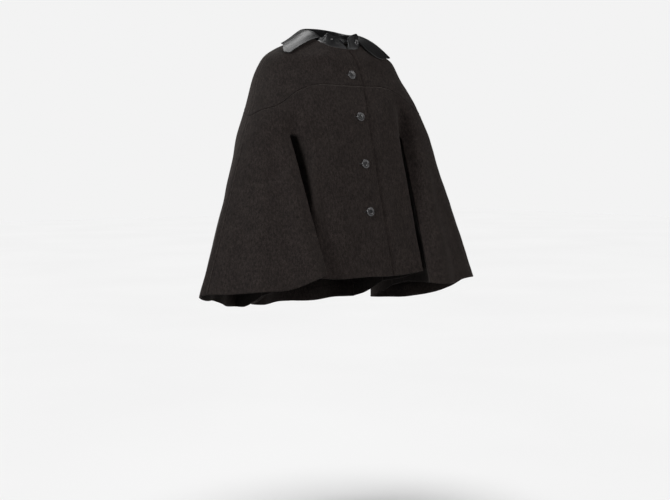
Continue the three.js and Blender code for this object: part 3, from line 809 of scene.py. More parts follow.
# %% Creases
# quarter, regions, width, depth (negative is a trough), points as (x, z)
CREASES = (
    ("frontRight", "body chest", 11, -2.2, ((-205, -318), (-160, -268), (-118, -240))),
    ("frontRight", "body chest", 9, -1.3, ((-208, -352), (-168, -330), (-130, -322))),
    ("frontRight", "body", 17, -3.0, ((-150, -430), (-158, -560), (-152, -700))),
    ("frontRight", "body", 20, 2.2, ((-92, -400), (-98, -540), (-104, -700))),
    ("frontRight", "body", 14, -1.8, ((-40, -560), (-48, -640), (-52, -705))),
    ("frontRight", "chest body", 6, -1.2, ((-18, -252), (-42, -262), (-74, -281))),
    ("frontRight", "body", 6, -1.2, ((-18, -392), (-44, -399), (-70, -412))),
    ("frontRight", "body", 5, -2.6, ((-24, -505), (-2, -491), (22, -503))),
    ("frontRight", "body", 6, 1.8, ((-26, -497), (-2, -481), (24, -494))),
    ("frontRight", "body", 7, -1.5, ((-20, -536), (-48, -552), (-80, -574))),
    ("frontRight", "yoke", 15, -1.6, ((-60, -70), (-120, -110), (-165, -165))),
    ("frontRight", "yoke", 13, 1.1, ((-95, -60), (-165, -105), (-205, -165))),
    ("frontRight", "chest sleeve", 10, -2.0, ((-228, -246), (-214, -290), (-205, -330))),
    ("frontRight", "sleeve", 15, -2.4, ((-236, -360), (-292, -420), (-352, -452))),
    ("frontRight", "sleeve", 12, 1.6, ((-242, -392), (-300, -452), (-350, -480))),
    ("frontRight", "sleeve", 16, -2.0, ((-214, -470), (-228, -580), (-232, -690))),
    ("frontRight", "sleeve", 18, -2.6, ((-330, -520), (-352, -620), (-372, -735))),
    ("frontLeft", "body chest", 10, -1.8, ((178, -322), (140, -282), (104, -250))),
    ("frontLeft", "body", 16, -2.4, ((128, -410), (134, -540), (140, -700))),
    ("frontLeft", "body", 13, -1.6, ((160, -470), (172, -590), (178, -700))),
    ("frontLeft", "yoke", 14, -1.5, ((62, -72), (118, -108), (162, -158))),
    ("frontLeft", "yoke", 12, 1.2, ((104, -70), (160, -112), (196, -170))),
    ("frontLeft", "sleeve", 15, -2.4, ((250, -360), (300, -424), (350, -446))),
    ("frontLeft", "sleeve", 17, -2.6, ((330, -500), (356, -620), (376, -735))),
    ("frontLeft", "sleeve", 15, -1.8, ((232, -480), (250, -600), (262, -735))),
    ("backRight", "yoke", 16, -1.6, ((-52, -40), (-110, -84), (-160, -150))),
    ("backRight", "yoke", 14, 1.2, ((-30, -60), (-70, -110), (-96, -160))),
    ("backRight", "body chest", 13, -2.4, ((-196, -330), (-150, -282), (-104, -256))),
    ("backRight", "body", 18, -3.0, ((-52, -420), (-58, -580), (-62, -780))),
    ("backRight", "sleeve", 15, -2.6, ((-250, -380), (-310, -440), (-372, -462))),
    ("backRight", "sleeve", 16, -2.2, ((-300, -520), (-322, -640), (-334, -800))),
    ("backRight", "sleeve", 14, 1.8, ((-392, -500), (-418, -620), (-440, -760))),
    ("backLeft", "yoke", 16, -1.7, ((54, -42), (112, -88), (164, -154))),
    ("backLeft", "yoke", 13, 1.1, ((34, -66), (64, -120), (88, -162))),
    ("backLeft", "body chest", 13, -2.2, ((192, -334), (150, -290), (100, -262))),
    ("backLeft", "body", 17, -2.8, ((118, -430), (124, -590), (122, -780))),
    ("backLeft", "body", 15, 1.8, ((20, -380), (24, -560), (22, -790))),
    ("backLeft", "sleeve", 15, -2.5, ((252, -390), (306, -446), (366, -470))),
    ("backLeft", "sleeve", 16, -2.4, ((310, -540), (330, -660), (344, -810))),
    ("backLeft", "sleeve", 14, 1.7, ((398, -510), (424, -630), (444, -765))),
)
# Slow unevenness of the cloth: how many turns per metre along X, Y and Z, its phase and its height
UNEVEN = (
    (5.1, 3.7, 4.3, 0.4, 0.55),
    (-7.9, 4.4, 3.1, 1.9, 0.4),
    (3.3, -6.8, 9.2, 3.1, 0.35),
    (11.7, 8.1, -5.9, 4.6, 0.22),
    (-6.1, 13.3, 14.9, 5.3, 0.16),
)
FADE_IN = 0.35
NARROW_START = 0.75
WIDENING = 0.5
# A slow wave of the hem: its height, its turns across and along, and how far up it reaches
HEM_WAVE = {"height": 1.6, "x": 0.031, "y": 0.017, "reach": 70}


def along_line(x, z, points):
    """Distance from a line of two or three points, and the share of its length that lies behind."""
    points = np.array(points, float)
    length = np.concatenate([[0], np.cumsum(np.linalg.norm(np.diff(points, axis=0), axis=1))])
    nearest = np.full(x.shape, np.inf)
    share = np.zeros(x.shape)
    for k in range(len(points) - 1):
        a, b = points[k], points[k + 1]
        span = b - a
        t = np.clip(((x - a[0]) * span[0] + (z - a[1]) * span[1]) / (span @ span), 0, 1)
        gap = np.hypot(x - a[0] - span[0] * t, z - a[1] - span[1] * t)
        closer = gap < nearest
        nearest = np.where(closer, gap, nearest)
        share = np.where(closer, (length[k] + (length[k + 1] - length[k]) * t) / length[-1], share)
    return nearest, share


def crease_heights(skin):
    x, z = skin["points"][:, 0], skin["points"][:, 2]
    quarter = np.array([p["quarter"] for p in patches])[skin["patch"]]
    region = np.array([p["region"] for p in patches])[skin["patch"]]
    height = np.zeros(len(x))
    for name, regions, width, depth, points in CREASES:
        chosen = np.flatnonzero(np.isin(region, regions.split()) & (quarter == name))
        gap, share = along_line(x[chosen], z[chosen], points)
        fade = ease(share / FADE_IN) * ease((1 - share) / FADE_IN)
        wide = width * (NARROW_START + WIDENING * share)
        height[chosen] += depth * fade * np.exp(-((gap / wide) ** 2))
    for tx, ty, tz, phase, size in UNEVEN:
        wave = skin["points"] @ np.array([tx, ty, tz]) * MM * math.tau
        height += size * np.sin(wave + phase)
    return height


normal = normals_of(wool["points"], wool["quads"])
wool["points"] += normal * crease_heights(wool)[:, None]
wave = np.sin(wool["points"][:, 0] * HEM_WAVE["x"] + wool["points"][:, 1] * HEM_WAVE["y"])
wool["points"][:, 2] += HEM_WAVE["height"] * wave * np.exp(-wool["hem"] / HEM_WAVE["reach"])
wool["normals"] = normals_of(wool["points"], wool["quads"])
print("creases:", len(CREASES))

# %% [markdown]
# ## From skin to cloth
# A seam pulls both pieces in by about a millimetre and leaves a soft welt beside it, where the
# allowances lie underneath. The hem is turned up and the front edges are faced, so they are thicker, and
# every free edge is round. Each piece becomes a closed wall.

# %% Relief beside seams
# distance, height (negative sinks), its middle, its width, how sharply it ends
OUTER_RELIEF = (
    ("seam", -2.1, 0, 1.6, 2),
    ("seam", 0.5, 6, 3, 2),
    ("arm", -0.45, 0, 1.7, 2),
    ("arm", 0.12, 6, 3, 2),
    ("hem", -0.3, HEM_TURN, 3, 2),
)
INNER_RELIEF = (
    ("seam", 1.0, 0, 9, 4),
    ("arm", 0.5, 0, 9, 4),
)
FOLDED_EDGE = {"past": 0.8, "run": 1.6}
FACED_EDGE = {"past": 2, "run": 4, "over_hem": 30}


def relief_of(skin, rows):
    height = np.zeros(len(skin["points"]))
    for key, size, middle, width, sharpness in rows:
        height += size * np.exp(-(((skin[key] - middle) / width) ** sharpness))
    return height


def skin_offsets(skin, thickness):
    """How far the outer and the inner side lie from the middle surface."""
    outer = thickness / 2 + relief_of(skin, OUTER_RELIEF)
    inner = thickness / 2 + relief_of(skin, INNER_RELIEF)
    inner += HEM_EXTRA * ease((HEM_TURN + FOLDED_EDGE["past"] - skin["hem"]) / FOLDED_EDGE["run"])
    faced = ease((FACING + FACED_EDGE["past"] - skin["edge"]) / FACED_EDGE["run"])
    inner += FACING_EXTRA * faced * ease(skin["hem"] / FACED_EDGE["over_hem"])
    return outer, inner


print("relief rows:", len(OUTER_RELIEF) + len(INNER_RELIEF))

# %% [markdown]
# ## Closed walls
# A single sheet of faces has no thickness, and looks like paper at its edges. Here each piece gets an outer
# and an inner side, and a strip of faces round its rim. Where the rim is a free edge of the coat, the
# strip bulges, so that the edge is round. Where another piece joins, it stays flat.

# %% Walls
RIM_TURNS = (45, 0, -45)
RIM_BULGE = 0.8


def rim_of(skin, used, quads, middle):
    """The edges of a piece's rim, and the outward direction of its free rim points."""
    pairs = np.concatenate([quads[:, [k, (k + 1) % 4]] for k in range(4)])
    owner = np.tile(np.arange(len(quads)), 4)
    ordered = np.sort(pairs, axis=1)
    _, index, uses = np.unique(ordered, axis=0, return_inverse=True, return_counts=True)
    lone = uses[index.reshape(-1)] == 1
    rim, rim_owner = pairs[lone], owner[lone]
    whole_edges, whole_uses = edge_uses(skin["quads"])
    free = set(map(tuple, whole_edges[whole_uses == 1]))
    is_free = np.array([tuple(sorted(pair)) in free for pair in used[rim].tolist()])
    centre = middle[quads[rim_owner]].mean(1)
    along = middle[rim[:, 1]] - middle[rim[:, 0]]
    along /= np.linalg.norm(along, axis=1, keepdims=True)
    out = middle[rim[:, 0]] - centre
    out -= along * (out * along).sum(1, keepdims=True)
    out /= np.linalg.norm(out, axis=1, keepdims=True)
    push = np.zeros_like(middle)
    for k in range(2):
        np.add.at(push, rim[is_free, k], out[is_free])
    size = np.linalg.norm(push, axis=1, keepdims=True)
    return rim, np.where(size > 1e-9, push / np.maximum(size, 1e-9), 0)


def wall(skin, piece, outer, inner):
    """The points and faces of one piece's closed wall, and where its outer points are."""
    quads = skin["quads"][skin["owners"] == piece]
    used, local = np.unique(quads, return_inverse=True)
    quads = local.reshape(-1, 4)
    middle, normal = skin["points"][used], skin["normals"][used]
    front = middle + normal * outer[used][:, None]
    back = middle - normal * inner[used][:, None]
    rim, push = rim_of(skin, used, quads, middle)
    rim_points = np.unique(rim)
    place = np.full(len(used), -1)
    place[rim_points] = np.arange(len(rim_points))
    centre_line = (front[rim_points] + back[rim_points]) / 2
    half = (front[rim_points] - back[rim_points]) / 2
    reach = np.linalg.norm(half, axis=1, keepdims=True) * RIM_BULGE
    rings = []
    for turn in RIM_TURNS:
        up, side = math.sin(math.radians(turn)), math.cos(math.radians(turn))
        rings.append(centre_line + half * up + push[rim_points] * reach * side)
    points = np.concatenate([front, back, *rings])
    count, ring = len(used), len(rim_points)
    chain = [lambda v: v]
    for k in range(len(RIM_TURNS)):
        chain.append(lambda v, k=k: 2 * count + k * ring + place[v])
    chain.append(lambda v: v + count)
    faces = [quads, quads[:, ::-1] + count]
    a, b = rim[:, 0], rim[:, 1]
    for upper, lower in zip(chain, chain[1:]):
        faces.append(np.stack([upper(b), upper(a), lower(a), lower(b)], -1))
    return points, np.concatenate(faces), dict(zip(used.tolist(), range(count)))


def make_mesh(name, points, faces, material):
    """A smooth-shaded mesh of quads or triangles, from millimetres."""
    mesh = bpy.data.meshes.new(name)
    size = faces.shape[1]
    mesh.vertices.add(len(points))
    mesh.vertices.foreach_set("co", (points * MM).astype(np.float32).reshape(-1))
    mesh.loops.add(faces.size)
    mesh.loops.foreach_set("vertex_index", faces.astype(np.int32).reshape(-1))
    mesh.polygons.add(len(faces))
    mesh.polygons.foreach_set("loop_start", np.arange(0, faces.size, size, dtype=np.int32))
    mesh.polygons.foreach_set("loop_total", np.full(len(faces), size, np.int32))
    mesh.update(calc_edges=True)
    mesh.validate()
    mesh.shade_smooth()
    mesh.materials.append(material)
    piece = bpy.data.objects.new(name, mesh)
    bpy.context.scene.collection.objects.link(piece)
    return piece


print("rim turns:", RIM_TURNS)

# %% [markdown]
# ## Finishes
# A finish is a tree of nodes, and no picture is needed for it. These helpers add the few kinds of node
# that all of the finishes share: noise, a colour ramp, a product of two colours, and a bump.


# %% Helpers for finishes
def new_material(name):
    material = bpy.data.materials.new(name)
    material.use_nodes = True
    tree = material.node_tree
    return material, tree, tree.nodes["Principled BSDF"]


def node(tree, kind, **values):
    made = tree.nodes.new(kind)
    for key, value in values.items():
        if key in made.inputs:
            made.inputs[key].default_value = value
        else:
            setattr(made, key, value)
    return made


def noise(tree, vector, scale, detail=2.0, rough=0.5):
    made = node(tree, "ShaderNodeTexNoise", Scale=scale, Detail=detail, Roughness=rough)
    tree.links.new(vector, made.inputs["Vector"])
    return made.outputs["Fac"]


def ramp(tree, value, *stops):
    made = node(tree, "ShaderNodeValToRGB")
    elements = made.color_ramp.elements
    while len(elements) < len(stops):
        elements.new(0.5)
    for element, (place, colour) in zip(elements, stops):
        element.position = place
        element.color = (*colour, 1)
    tree.links.new(value, made.inputs["Fac"])
    return made.outputs["Color"]


def grey(value):
    return (value, value, value)


def multiply(tree, a, b):
    made = node(tree, "ShaderNodeMix", data_type="RGBA", blend_type="MULTIPLY")
    made.inputs[0].default_value = 1
    tree.links.new(a, made.inputs[6])
    tree.links.new(b, made.inputs[7])
    return made.outputs[2]


def bump(tree, height, distance, strength, before=None):
    made = node(tree, "ShaderNodeBump", Distance=distance, Strength=strength)
    tree.links.new(height, made.inputs["Height"])
    if before:
        tree.links.new(before, made.inputs["Normal"])
    return made.outputs["Normal"]


print("new finishes so far:", len(bpy.data.materials))

# %% [markdown]
# ## Wool
# Melton is woven, then felted until the weave is gone. What stays is a mottle of dark and lighter brown
# fibres, drawn out a little downwards, and a short nap that catches light at the edges. Three noises
# carry it: fibres, the heather of many fibres together, and slow clouds. The first two also give the nap.

# %% Wool finish
GRAIN_STRETCH = (1, 1, 0.42)


def wool_material():
    material, tree, shader = new_material("melton_wool")
    where = node(tree, "ShaderNodeTexCoord").outputs["Object"]
    grain = node(tree, "ShaderNodeMapping")
    grain.inputs["Scale"].default_value = GRAIN_STRETCH
    tree.links.new(where, grain.inputs["Vector"])
    fibres = noise(tree, grain.outputs[0], 1150, 4, 0.65)
    heather = noise(tree, grain.outputs[0], 210, 4, 0.7)
    clouds = noise(tree, where, 26, 3, 0.55)
    colour = ramp(
        tree,
        fibres,
        (0.34, (0.0080, 0.0063, 0.0058)),
        (0.52, (0.0156, 0.0123, 0.0113)),
        (0.68, (0.0385, 0.0300, 0.0275)),
    )
    colour = multiply(tree, colour, ramp(tree, heather, (0.34, grey(0.5)), (0.66, grey(1.46))))
    colour = multiply(tree, colour, ramp(tree, clouds, (0.3, grey(0.86)), (0.7, grey(1.12))))
    tree.links.new(colour, shader.inputs["Base Color"])
    nap = bump(tree, heather, 0.0009, 0.5)
    nap = bump(tree, fibres, 0.0005, 0.7, nap)
    tree.links.new(nap, shader.inputs["Normal"])
    shader.inputs["Roughness"].default_value = 0.92
    shader.inputs["Specular IOR Level"].default_value = 0.18
    shader.inputs["Sheen Weight"].default_value = 0.12
    shader.inputs["Sheen Roughness"].default_value = 0.45
    shader.inputs["Sheen Tint"].default_value = (0.62, 0.55, 0.5, 1)
    return material


WOOL_FINISH = wool_material()
print("made", WOOL_FINISH.name)

# %% [markdown]
# ## Leather
# The collar's leather is smooth and black, with a soft shine. Cells of Voronoi give the fine grain, and a
# broad noise makes both the shine and the surface a little uneven, as on a real hide.


# %% Leather finish
def leather_material():
    material, tree, shader = new_material("collar_leather")
    where = node(tree, "ShaderNodeTexCoord").outputs["Object"]
    cells = node(tree, "ShaderNodeTexVoronoi", feature="DISTANCE_TO_EDGE", Scale=780)
    tree.links.new(where, cells.inputs["Vector"])
    fine = noise(tree, where, 1400, 3, 0.6)
    broad = noise(tree, where, 55, 3, 0.6)
    colour = ramp(tree, broad, (0.3, (0.0030, 0.0030, 0.0034)), (0.7, (0.0056, 0.0055, 0.0058)))
    tree.links.new(colour, shader.inputs["Base Color"])
    shine = ramp(tree, broad, (0.3, grey(0.3)), (0.7, grey(0.42)))
    tree.links.new(shine, shader.inputs["Roughness"])
    grain = ramp(tree, cells.outputs["Distance"], (0.0, grey(0)), (0.22, grey(1)))
    relief = bump(tree, broad, 0.0015, 0.35)
    relief = bump(tree, grain, 0.00016, 0.6, relief)
    relief = bump(tree, fine, 0.00008, 0.5, relief)
    tree.links.new(relief, shader.inputs["Normal"])
    shader.inputs["Specular IOR Level"].default_value = 0.55
    shader.inputs["Coat Weight"].default_value = 0.25
    shader.inputs["Coat Roughness"].default_value = 0.28
    return material


LEATHER_FINISH = leather_material()
print("made", LEATHER_FINISH.name)

# %% [markdown]
# ## Horn and thread
# The buttons are polished, grey and slightly cloudy, like horn: a noise that is bent by itself gives the
# clouds. Thread is matt, and its twist shows as fine light and dark.


# %% Horn and thread finish
def horn_material():
    material, tree, shader = new_material("button_horn")
    where = node(tree, "ShaderNodeTexCoord").outputs["Object"]
    swirl = node(tree, "ShaderNodeTexNoise", Scale=120, Detail=4, Distortion=1.6)
    tree.links.new(where, swirl.inputs["Vector"])
    colour = ramp(
        tree,
        swirl.outputs["Fac"],
        (0.3, (0.022, 0.022, 0.023)),
        (0.55, (0.050, 0.049, 0.050)),
        (0.75, (0.115, 0.112, 0.112)),
    )
    tree.links.new(colour, shader.inputs["Base Color"])
    wear = noise(tree, where, 400, 3, 0.6)
    tree.links.new(ramp(tree, wear, (0.3, grey(0.14)), (0.7, grey(0.26))), shader.inputs["Roughness"])
    tree.links.new(bump(tree, wear, 0.00008, 0.4), shader.inputs["Normal"])
    shader.inputs["Coat Weight"].default_value = 0.5
    shader.inputs["Coat Roughness"].default_value = 0.12
    return material


def thread_material(name, dark, light):
    material, tree, shader = new_material(name)
    where = node(tree, "ShaderNodeTexCoord").outputs["Object"]
    twist = noise(tree, where, 2600, 2, 0.5)
    tree.links.new(ramp(tree, twist, (0.35, grey(dark)), (0.65, grey(light))), shader.inputs["Base Color"])
    tree.links.new(bump(tree, twist, 0.0002, 0.8), shader.inputs["Normal"])
    shader.inputs["Roughness"].default_value = 0.7
    return material


HORN_FINISH = horn_material()
DARK_THREAD = thread_material("dark_thread", 0.008, 0.02)
GREY_THREAD = thread_material("grey_thread", 0.12, 0.3)
print("materials:", [m.name for m in bpy.data.materials])

# %% [markdown]
# ## The wool pieces
# Each piece replaces its solid. `flat` is the size of the rectangle that it is cut from, and `area` the
# cloth in the cut itself, both measured along the cloth.

# %% Wool pieces
# node: flat width and length of its cut, area, how it is held, what it hangs from
WOOL_CUTS = {
    "yoke_front_right": ((0.36, 0.30), 0.059, "draped", ()),
    "yoke_front_left": ((0.36, 0.30), 0.059, "draped", ()),
    "yoke_back": ((0.70, 0.32), 0.135, "draped", ()),
    "front_right": ((1.10, 0.62), 0.44, "hung", ("yoke_front_right_wool",)),
    "front_left": ((1.10, 0.62), 0.43, "hung", ("yoke_front_left_wool",)),
    "back": ((1.59, 0.70), 0.81, "hung", ("yoke_back_wool",)),
}
outer_index = {}


def cloth_area(skin, name):
    """Square metres of a piece's middle surface."""
    quads = skin["quads"][skin["owners"] == name]
    a, b, c, d = (skin["points"][quads[:, k]] for k in range(4))
    return np.linalg.norm(np.cross(c - a, d - b), axis=1).sum() / 2 * MM * MM


def dress(skin, name, sides, kind, finish):
    """Builds one piece of the coat in the place of its solid."""
    points, faces, outer_index[name] = wall(skin, name, *sides)
    piece = make_mesh(name + kind, points, faces, finish)
    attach(piece, "root")
    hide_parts(name)
    print(name, "area", round(cloth_area(skin, name), 4), "triangles", 2 * len(faces))
    return piece


wool_sides = skin_offsets(wool, WOOL)
wool_pieces = {}
for name in WOOL_CUTS:
    wool_pieces[name] = dress(wool, name, wool_sides, "_wool", WOOL_FINISH)

# %% [markdown]
# ## The collar
# The stand is a leather band sewn into the neckline, undone in front, so its two ends lie open at
# different heights. The leaf turns over the stand's top and lies on the shoulders. Both are one fold of
# leather, so the side that shows inside the stand runs over the roll onto the leaf.

# %% Collar shape
STAND_COLUMNS = "turn rise lean"
LEAF_COLUMNS = "turn level lift spread belly crown roll"
STAND = {
    "right": table(
        STAND_COLUMNS,
        (0, 6, 1),
        (6, 21, 3),
        (19, 32, 4),
        (38, 35, 5),
        (52, 15, 5),
        (57, 12, 5),
        (70, 17.5, 6),
        (90, 23, 7),
        (180, 28, 7),
    ),
    "left": table(
        STAND_COLUMNS,
        (0, 26, 0),
        (9, 40, 0),
        (24, 45, 1),
        (33, 40, 2),
        (39, 30, 3),
        (44, 18, 4),
        (60, 16, 5),
        (90, 20, 7),
        (180, 28, 7),
    ),
}
LEAF = {
    "right": table(
        LEAF_COLUMNS,
        (57, 3, 9, -6, 0, 12, 0),
        (63, 2.9, 9, -5, 0, 10, 4),
        (68.5, 2.55, 9, -3, 0, 7, 8),
        (74, 2.2, 8, 0, 0, 4, 11),
        (79.5, 1.92, 8, 1, 0, 2, 13),
        (90, 1.7, 8, 0, 0, 1, 14),
        (110, 1.55, 8, 0, 0, 0, 12),
        (140, 1.62, 8, 0, 0, -2, 10),
        (180, 1.85, 8, 0, 0, -3, 9),
    ),
    "left": table(
        LEAF_COLUMNS,
        (44, 2.78, 9, -1, 39, -45, -20),
        (50, 2.78, 9, 0, 26, -20, -8),
        (55.5, 2.7, 9, 2, 15, 2, 0),
        (61.3, 2.6, 9, 3, 6, 17, 4),
        (67, 2.45, 9, 3, 0, 25, 6),
        (72.7, 2.2, 8, 3, 0, 22, 8),
        (78.5, 1.95, 8, 2, 0, 15, 10),
        (90, 1.7, 8, 0, 0, 2, 12),
        (110, 1.55, 8, 0, 0, 0, 12),
        (140, 1.62, 8, 0, 0, -2, 10),
        (180, 1.85, 8, 0, 0, -3, 9),
    ),
}
ROLL_SHARE = 0.16
ROLL_BELLY = 0.3
STAND_START = {"frontRight": 2, "frontLeft": 4, "backRight": 0, "backLeft": 0}
LEAF_START = {"frontRight": 13, "frontLeft": 12, "backRight": 0, "backLeft": 0}
NEAR_END = np.array([0, 0.04, 0.1, 0.18, 0.3, 0.45])
COLLAR_COLUMN = 0.22
print("rows of the collar's tables:", len(STAND["right"]["turn"]), len(LEAF["right"]["turn"]))

# %% [markdown]
# ## Along the neckline
# The collar is sewn to the neckline, so both of its pieces start from the same line of points. The columns
# stand closer together at an open front end, where the leather's corner has to stay crisp.


# %% Along the neckline
def collar_places(start, stop, front):
    """Places of the columns from the front end to the centre back, closer at the front end."""
    first = start + NEAR_END if front else np.array([start])
    inside = np.arange(first[-1], stop, COLLAR_COLUMN)[1:]
    inside = inside[stop - inside > COLLAR_COLUMN / 3]
    return np.concatenate([first, inside, [stop]])


def towards(points, length):
    """The level part of each vector, set to a length."""
    flat = points * np.array([1, 1, 0])
    return flat / np.linalg.norm(flat, axis=-1, keepdims=True) * length[..., None]


def neckline(name, columns, place):
    """Turn and angle round the neck, the neckline's points and the stand's top."""
    quarter = QUARTERS[name]
    angle = signed_angle(name, columns, place, np.zeros((1, len(place))))
    turn = np.abs(angle)[0]
    if quarter["face"] == "back":
        turn = 180 - turn
    base = coat_point(name, angle, np.zeros_like(angle))[0]
    layer = [LAYER_SHARE.get(c["line"], 0) if name == "frontLeft" else 0 for c in columns]
    base[:, 1] += steady_columns(layer, place) * LAP_STEP
    rows = STAND[quarter["hand"]]
    top = base - towards(base, read(rows, "turn", "lean", turn))
    top[:, 2] = base[:, 2] + read(rows, "turn", "rise", turn)
    return turn, angle[0], base, top


print("columns of the collar are", COLLAR_COLUMN, "of a control column apart")

# %% [markdown]
# ## Stand and leaf
# The stand rises from the neckline with a slight bow. The leaf leaves its top, rolls over and lies down on
# the coat: a cubic curve from the roll to the outer edge has just the points that a collar needs. Its
# control points differ round the neck, because the two front leaves are turned out differently.

# %% Stand and leaf
STAND_ROWS = 6
STAND_TOP_ROWS = [0, 1, 2.2, 3.5, 5]
STAND_TUCK = 1.5
STAND_BOW = 2.2
LEAF_ROWS = 20
LEAF_EDGE_ROWS = [0, 1, 2.2, 3.5, 5, 7.5]
leather_patches = []


def stand_patch(name, columns, front):
    place = collar_places(STAND_START[name], len(columns) - 1, front)
    _, _, base, top = neckline(name, columns, place)
    low = base - (top - base) * (STAND_TUCK / np.linalg.norm(top - base, axis=1))[:, None]
    bow = towards(base, np.full(len(base), STAND_BOW))

    def stand_at(s):
        return low + (top - low) * s[..., None] + bow * (np.sin(math.pi * s) ** 2)[..., None]

    _, points, _, from_top = spaced(stand_at, STAND_ROWS, PLAIN, STAND_TOP_ROWS, len(place))
    points, from_top = points[::-1], from_top[::-1]
    edge = across(points, False) if front else FAR
    add_patch(
        leather_patches, "collar_stand", name, "leather", points, flip=True, hem=from_top, edge=edge
    )


def leaf_patch(name, columns, front):
    place = collar_places(LEAF_START[name], len(columns) - 1, front)
    turn, angle, _, top = neckline(name, columns, place)
    rows = LEAF[QUARTERS[name]["hand"]]
    spread = read(rows, "turn", "spread", turn) if front else 0
    rest = coat_point(name, np.minimum(angle + spread, 90), read(rows, "turn", "level", turn))
    lift = read(rows, "turn", "lift", turn)
    outer = rest + towards(rest, lift / 2) + np.array([0, 0, 1]) * lift[:, None]
    belly = read(rows, "turn", "belly", turn)
    middle = (top + outer) / 2
    middle[:, 1] -= belly
    middle[:, 2] += read(rows, "turn", "crown", turn)
    roll = top + (outer - top) * ROLL_SHARE
    roll[:, 1] -= belly * ROLL_BELLY
    roll[:, 2] = top[:, 2] + read(rows, "turn", "roll", turn)

    def leaf_at(s):
        t = s[..., None]
        flat_part = outer * (1 - t) ** 3 + 3 * middle * t * (1 - t) ** 2
        return flat_part + 3 * roll * t * t * (1 - t) + top * t**3

    _, points, from_edge, _ = spaced(leaf_at, LEAF_ROWS, LEAF_EDGE_ROWS, PLAIN, len(place))
    edge = across(points, False) if front else FAR
    add_patch(leather_patches, "collar", name, "leather", points, hem=from_edge, edge=edge)


for name, quarter in QUARTERS.items():
    columns, _ = columns_of(name)
    stand_patch(name, columns, quarter["face"] == "front")
    leaf_patch(name, columns, quarter["face"] == "front")
print("leather patches:", len(leather_patches))

# %% [markdown]
# ## The leather pieces
# The two pieces are welded, eased and given their walls as the wool was. A row of stitching pulls the
# leather in a little 3.5 mm inside its edge, and the turned edge beyond it is thicker.

# %% Leather pieces
STITCH_INSET = 3.5
STITCH_SINK = 0.35
STITCH_SINK_WIDTH = 0.9
EDGE_SWELL = 0.25
EDGE_SWELL_WIDTH = 2.4

leather = weld(leather_patches)
leather["points"] = relax(leather["points"], leather["quads"], LEATHER_ROUNDS, EASING)
leather["normals"] = normals_of(leather["points"], leather["quads"])
nearest = np.minimum(leather["hem"], leather["edge"])
outer_leather = LEATHER / 2 - STITCH_SINK * np.exp(-(((nearest - STITCH_INSET) / STITCH_SINK_WIDTH) ** 2))
outer_leather += EDGE_SWELL * np.exp(-((nearest / EDGE_SWELL_WIDTH) ** 2))
leather_sides = (outer_leather, np.full(len(nearest), LEATHER / 2))
leather_pieces = {}
for name in ("collar_stand", "collar"):
    leather_pieces[name] = dress(
        leather, name, leather_sides, "_leather", LEATHER_FINISH
    )

# %% [markdown]
# ## Buttons
# A button is turned from a disc: a rounded rim, a dished middle and four drilled holes. It is sewn on
# with dark thread that crosses from hole to hole. It replaces its plain solid and sits in the same place.

# %% Turning a button
# name, radius, how far it is turned on its thread
BUTTONS = (
    ("button_1", 14, 0.2),
    ("button_2", 14, 0.9),
    ("button_3", 14, 0.45),
    ("button_4", 14, 1.3),
    ("neck_button", 9.5, 0.6),
)
BUTTON_HEIGHT = 0.32
BUTTON_SIDES = 56
# across and up, as shares of the radius and the height
BUTTON_PROFILE = (
    (0, 0),
    (0.8, 0),
    (0.93, 0.12),
    (0.995, 0.38),
    (0.985, 0.66),
    (0.93, 0.9),
    (0.85, 1.0),
    (0.77, 0.96),
    (0.7, 0.8),
    (0.63, 0.6),
    (0.55, 0.5),
    (0.3, 0.46),
    (0, 0.45),
)
# shares of the radius
HOLE_PLACE = 0.19
HOLE_RADIUS = 0.1
HOLE_SIDES = 20


def place_at(point, facing, turned=0.0):
    """A matrix that sets a thing made on z = 0 onto a point in metres, facing a direction."""
    turn = Vector((0, 0, 1)).rotation_difference(facing).to_matrix().to_4x4()
    return Matrix.Translation(point) @ turn @ Matrix.Rotation(turned, 4, "Z")


def lathe(name, profile, sides):
    """A closed turned body; the profile starts and ends on the axis."""
    body = bmesh.new()
    rings = []
    turns = [math.tau * k / sides for k in range(sides)]
    for wide, up in profile:
        spots = [(wide * math.cos(t), wide * math.sin(t), up) for t in turns] if wide else [(0, 0, up)]
        rings.append([body.verts.new(spot) for spot in spots])
    for low, high in zip(rings, rings[1:]):
        for k in range(sides):
            following = (k + 1) % sides
            if len(low) == 1:
                body.faces.new((low[0], high[following], high[k]))
            elif len(high) == 1:
                body.faces.new((low[k], low[following], high[0]))
            else:
                body.faces.new((low[k], low[following], high[following], high[k]))
    bmesh.ops.recalc_face_normals(body, faces=body.faces)
    mesh = bpy.data.meshes.new(name)
    body.to_mesh(mesh)
    body.free()
    made = bpy.data.objects.new(name, mesh)
    bpy.context.scene.collection.objects.link(made)
    return made


def cut_holes(disc, radius, height):
    """Drills four holes through a button."""
    cut = bmesh.new()
    for x in (-1, 1):
        for y in (-1, 1):
            spot = (x * radius * HOLE_PLACE, y * radius * HOLE_PLACE, height / 2)
            bmesh.ops.create_cone(
                cut,
                cap_ends=True,
                segments=HOLE_SIDES,
                radius1=radius * HOLE_RADIUS,
                radius2=radius * HOLE_RADIUS,
                depth=height * 3,
                matrix=Matrix.Translation(spot),
            )
    mesh = bpy.data.meshes.new("drill")
    cut.to_mesh(mesh)
    cut.free()
    drill = bpy.data.objects.new("drill", mesh)
    bpy.context.scene.collection.objects.link(drill)
    modifier = disc.modifiers.new("holes", "BOOLEAN")
    modifier.object = drill
    modifier.operation = "DIFFERENCE"
    modifier.solver = "EXACT"
    shown = disc.evaluated_get(bpy.context.evaluated_depsgraph_get())
    drilled = bpy.data.meshes.new_from_object(shown)
    disc.modifiers.clear()
    disc.data = drilled
    bpy.data.objects.remove(drill)


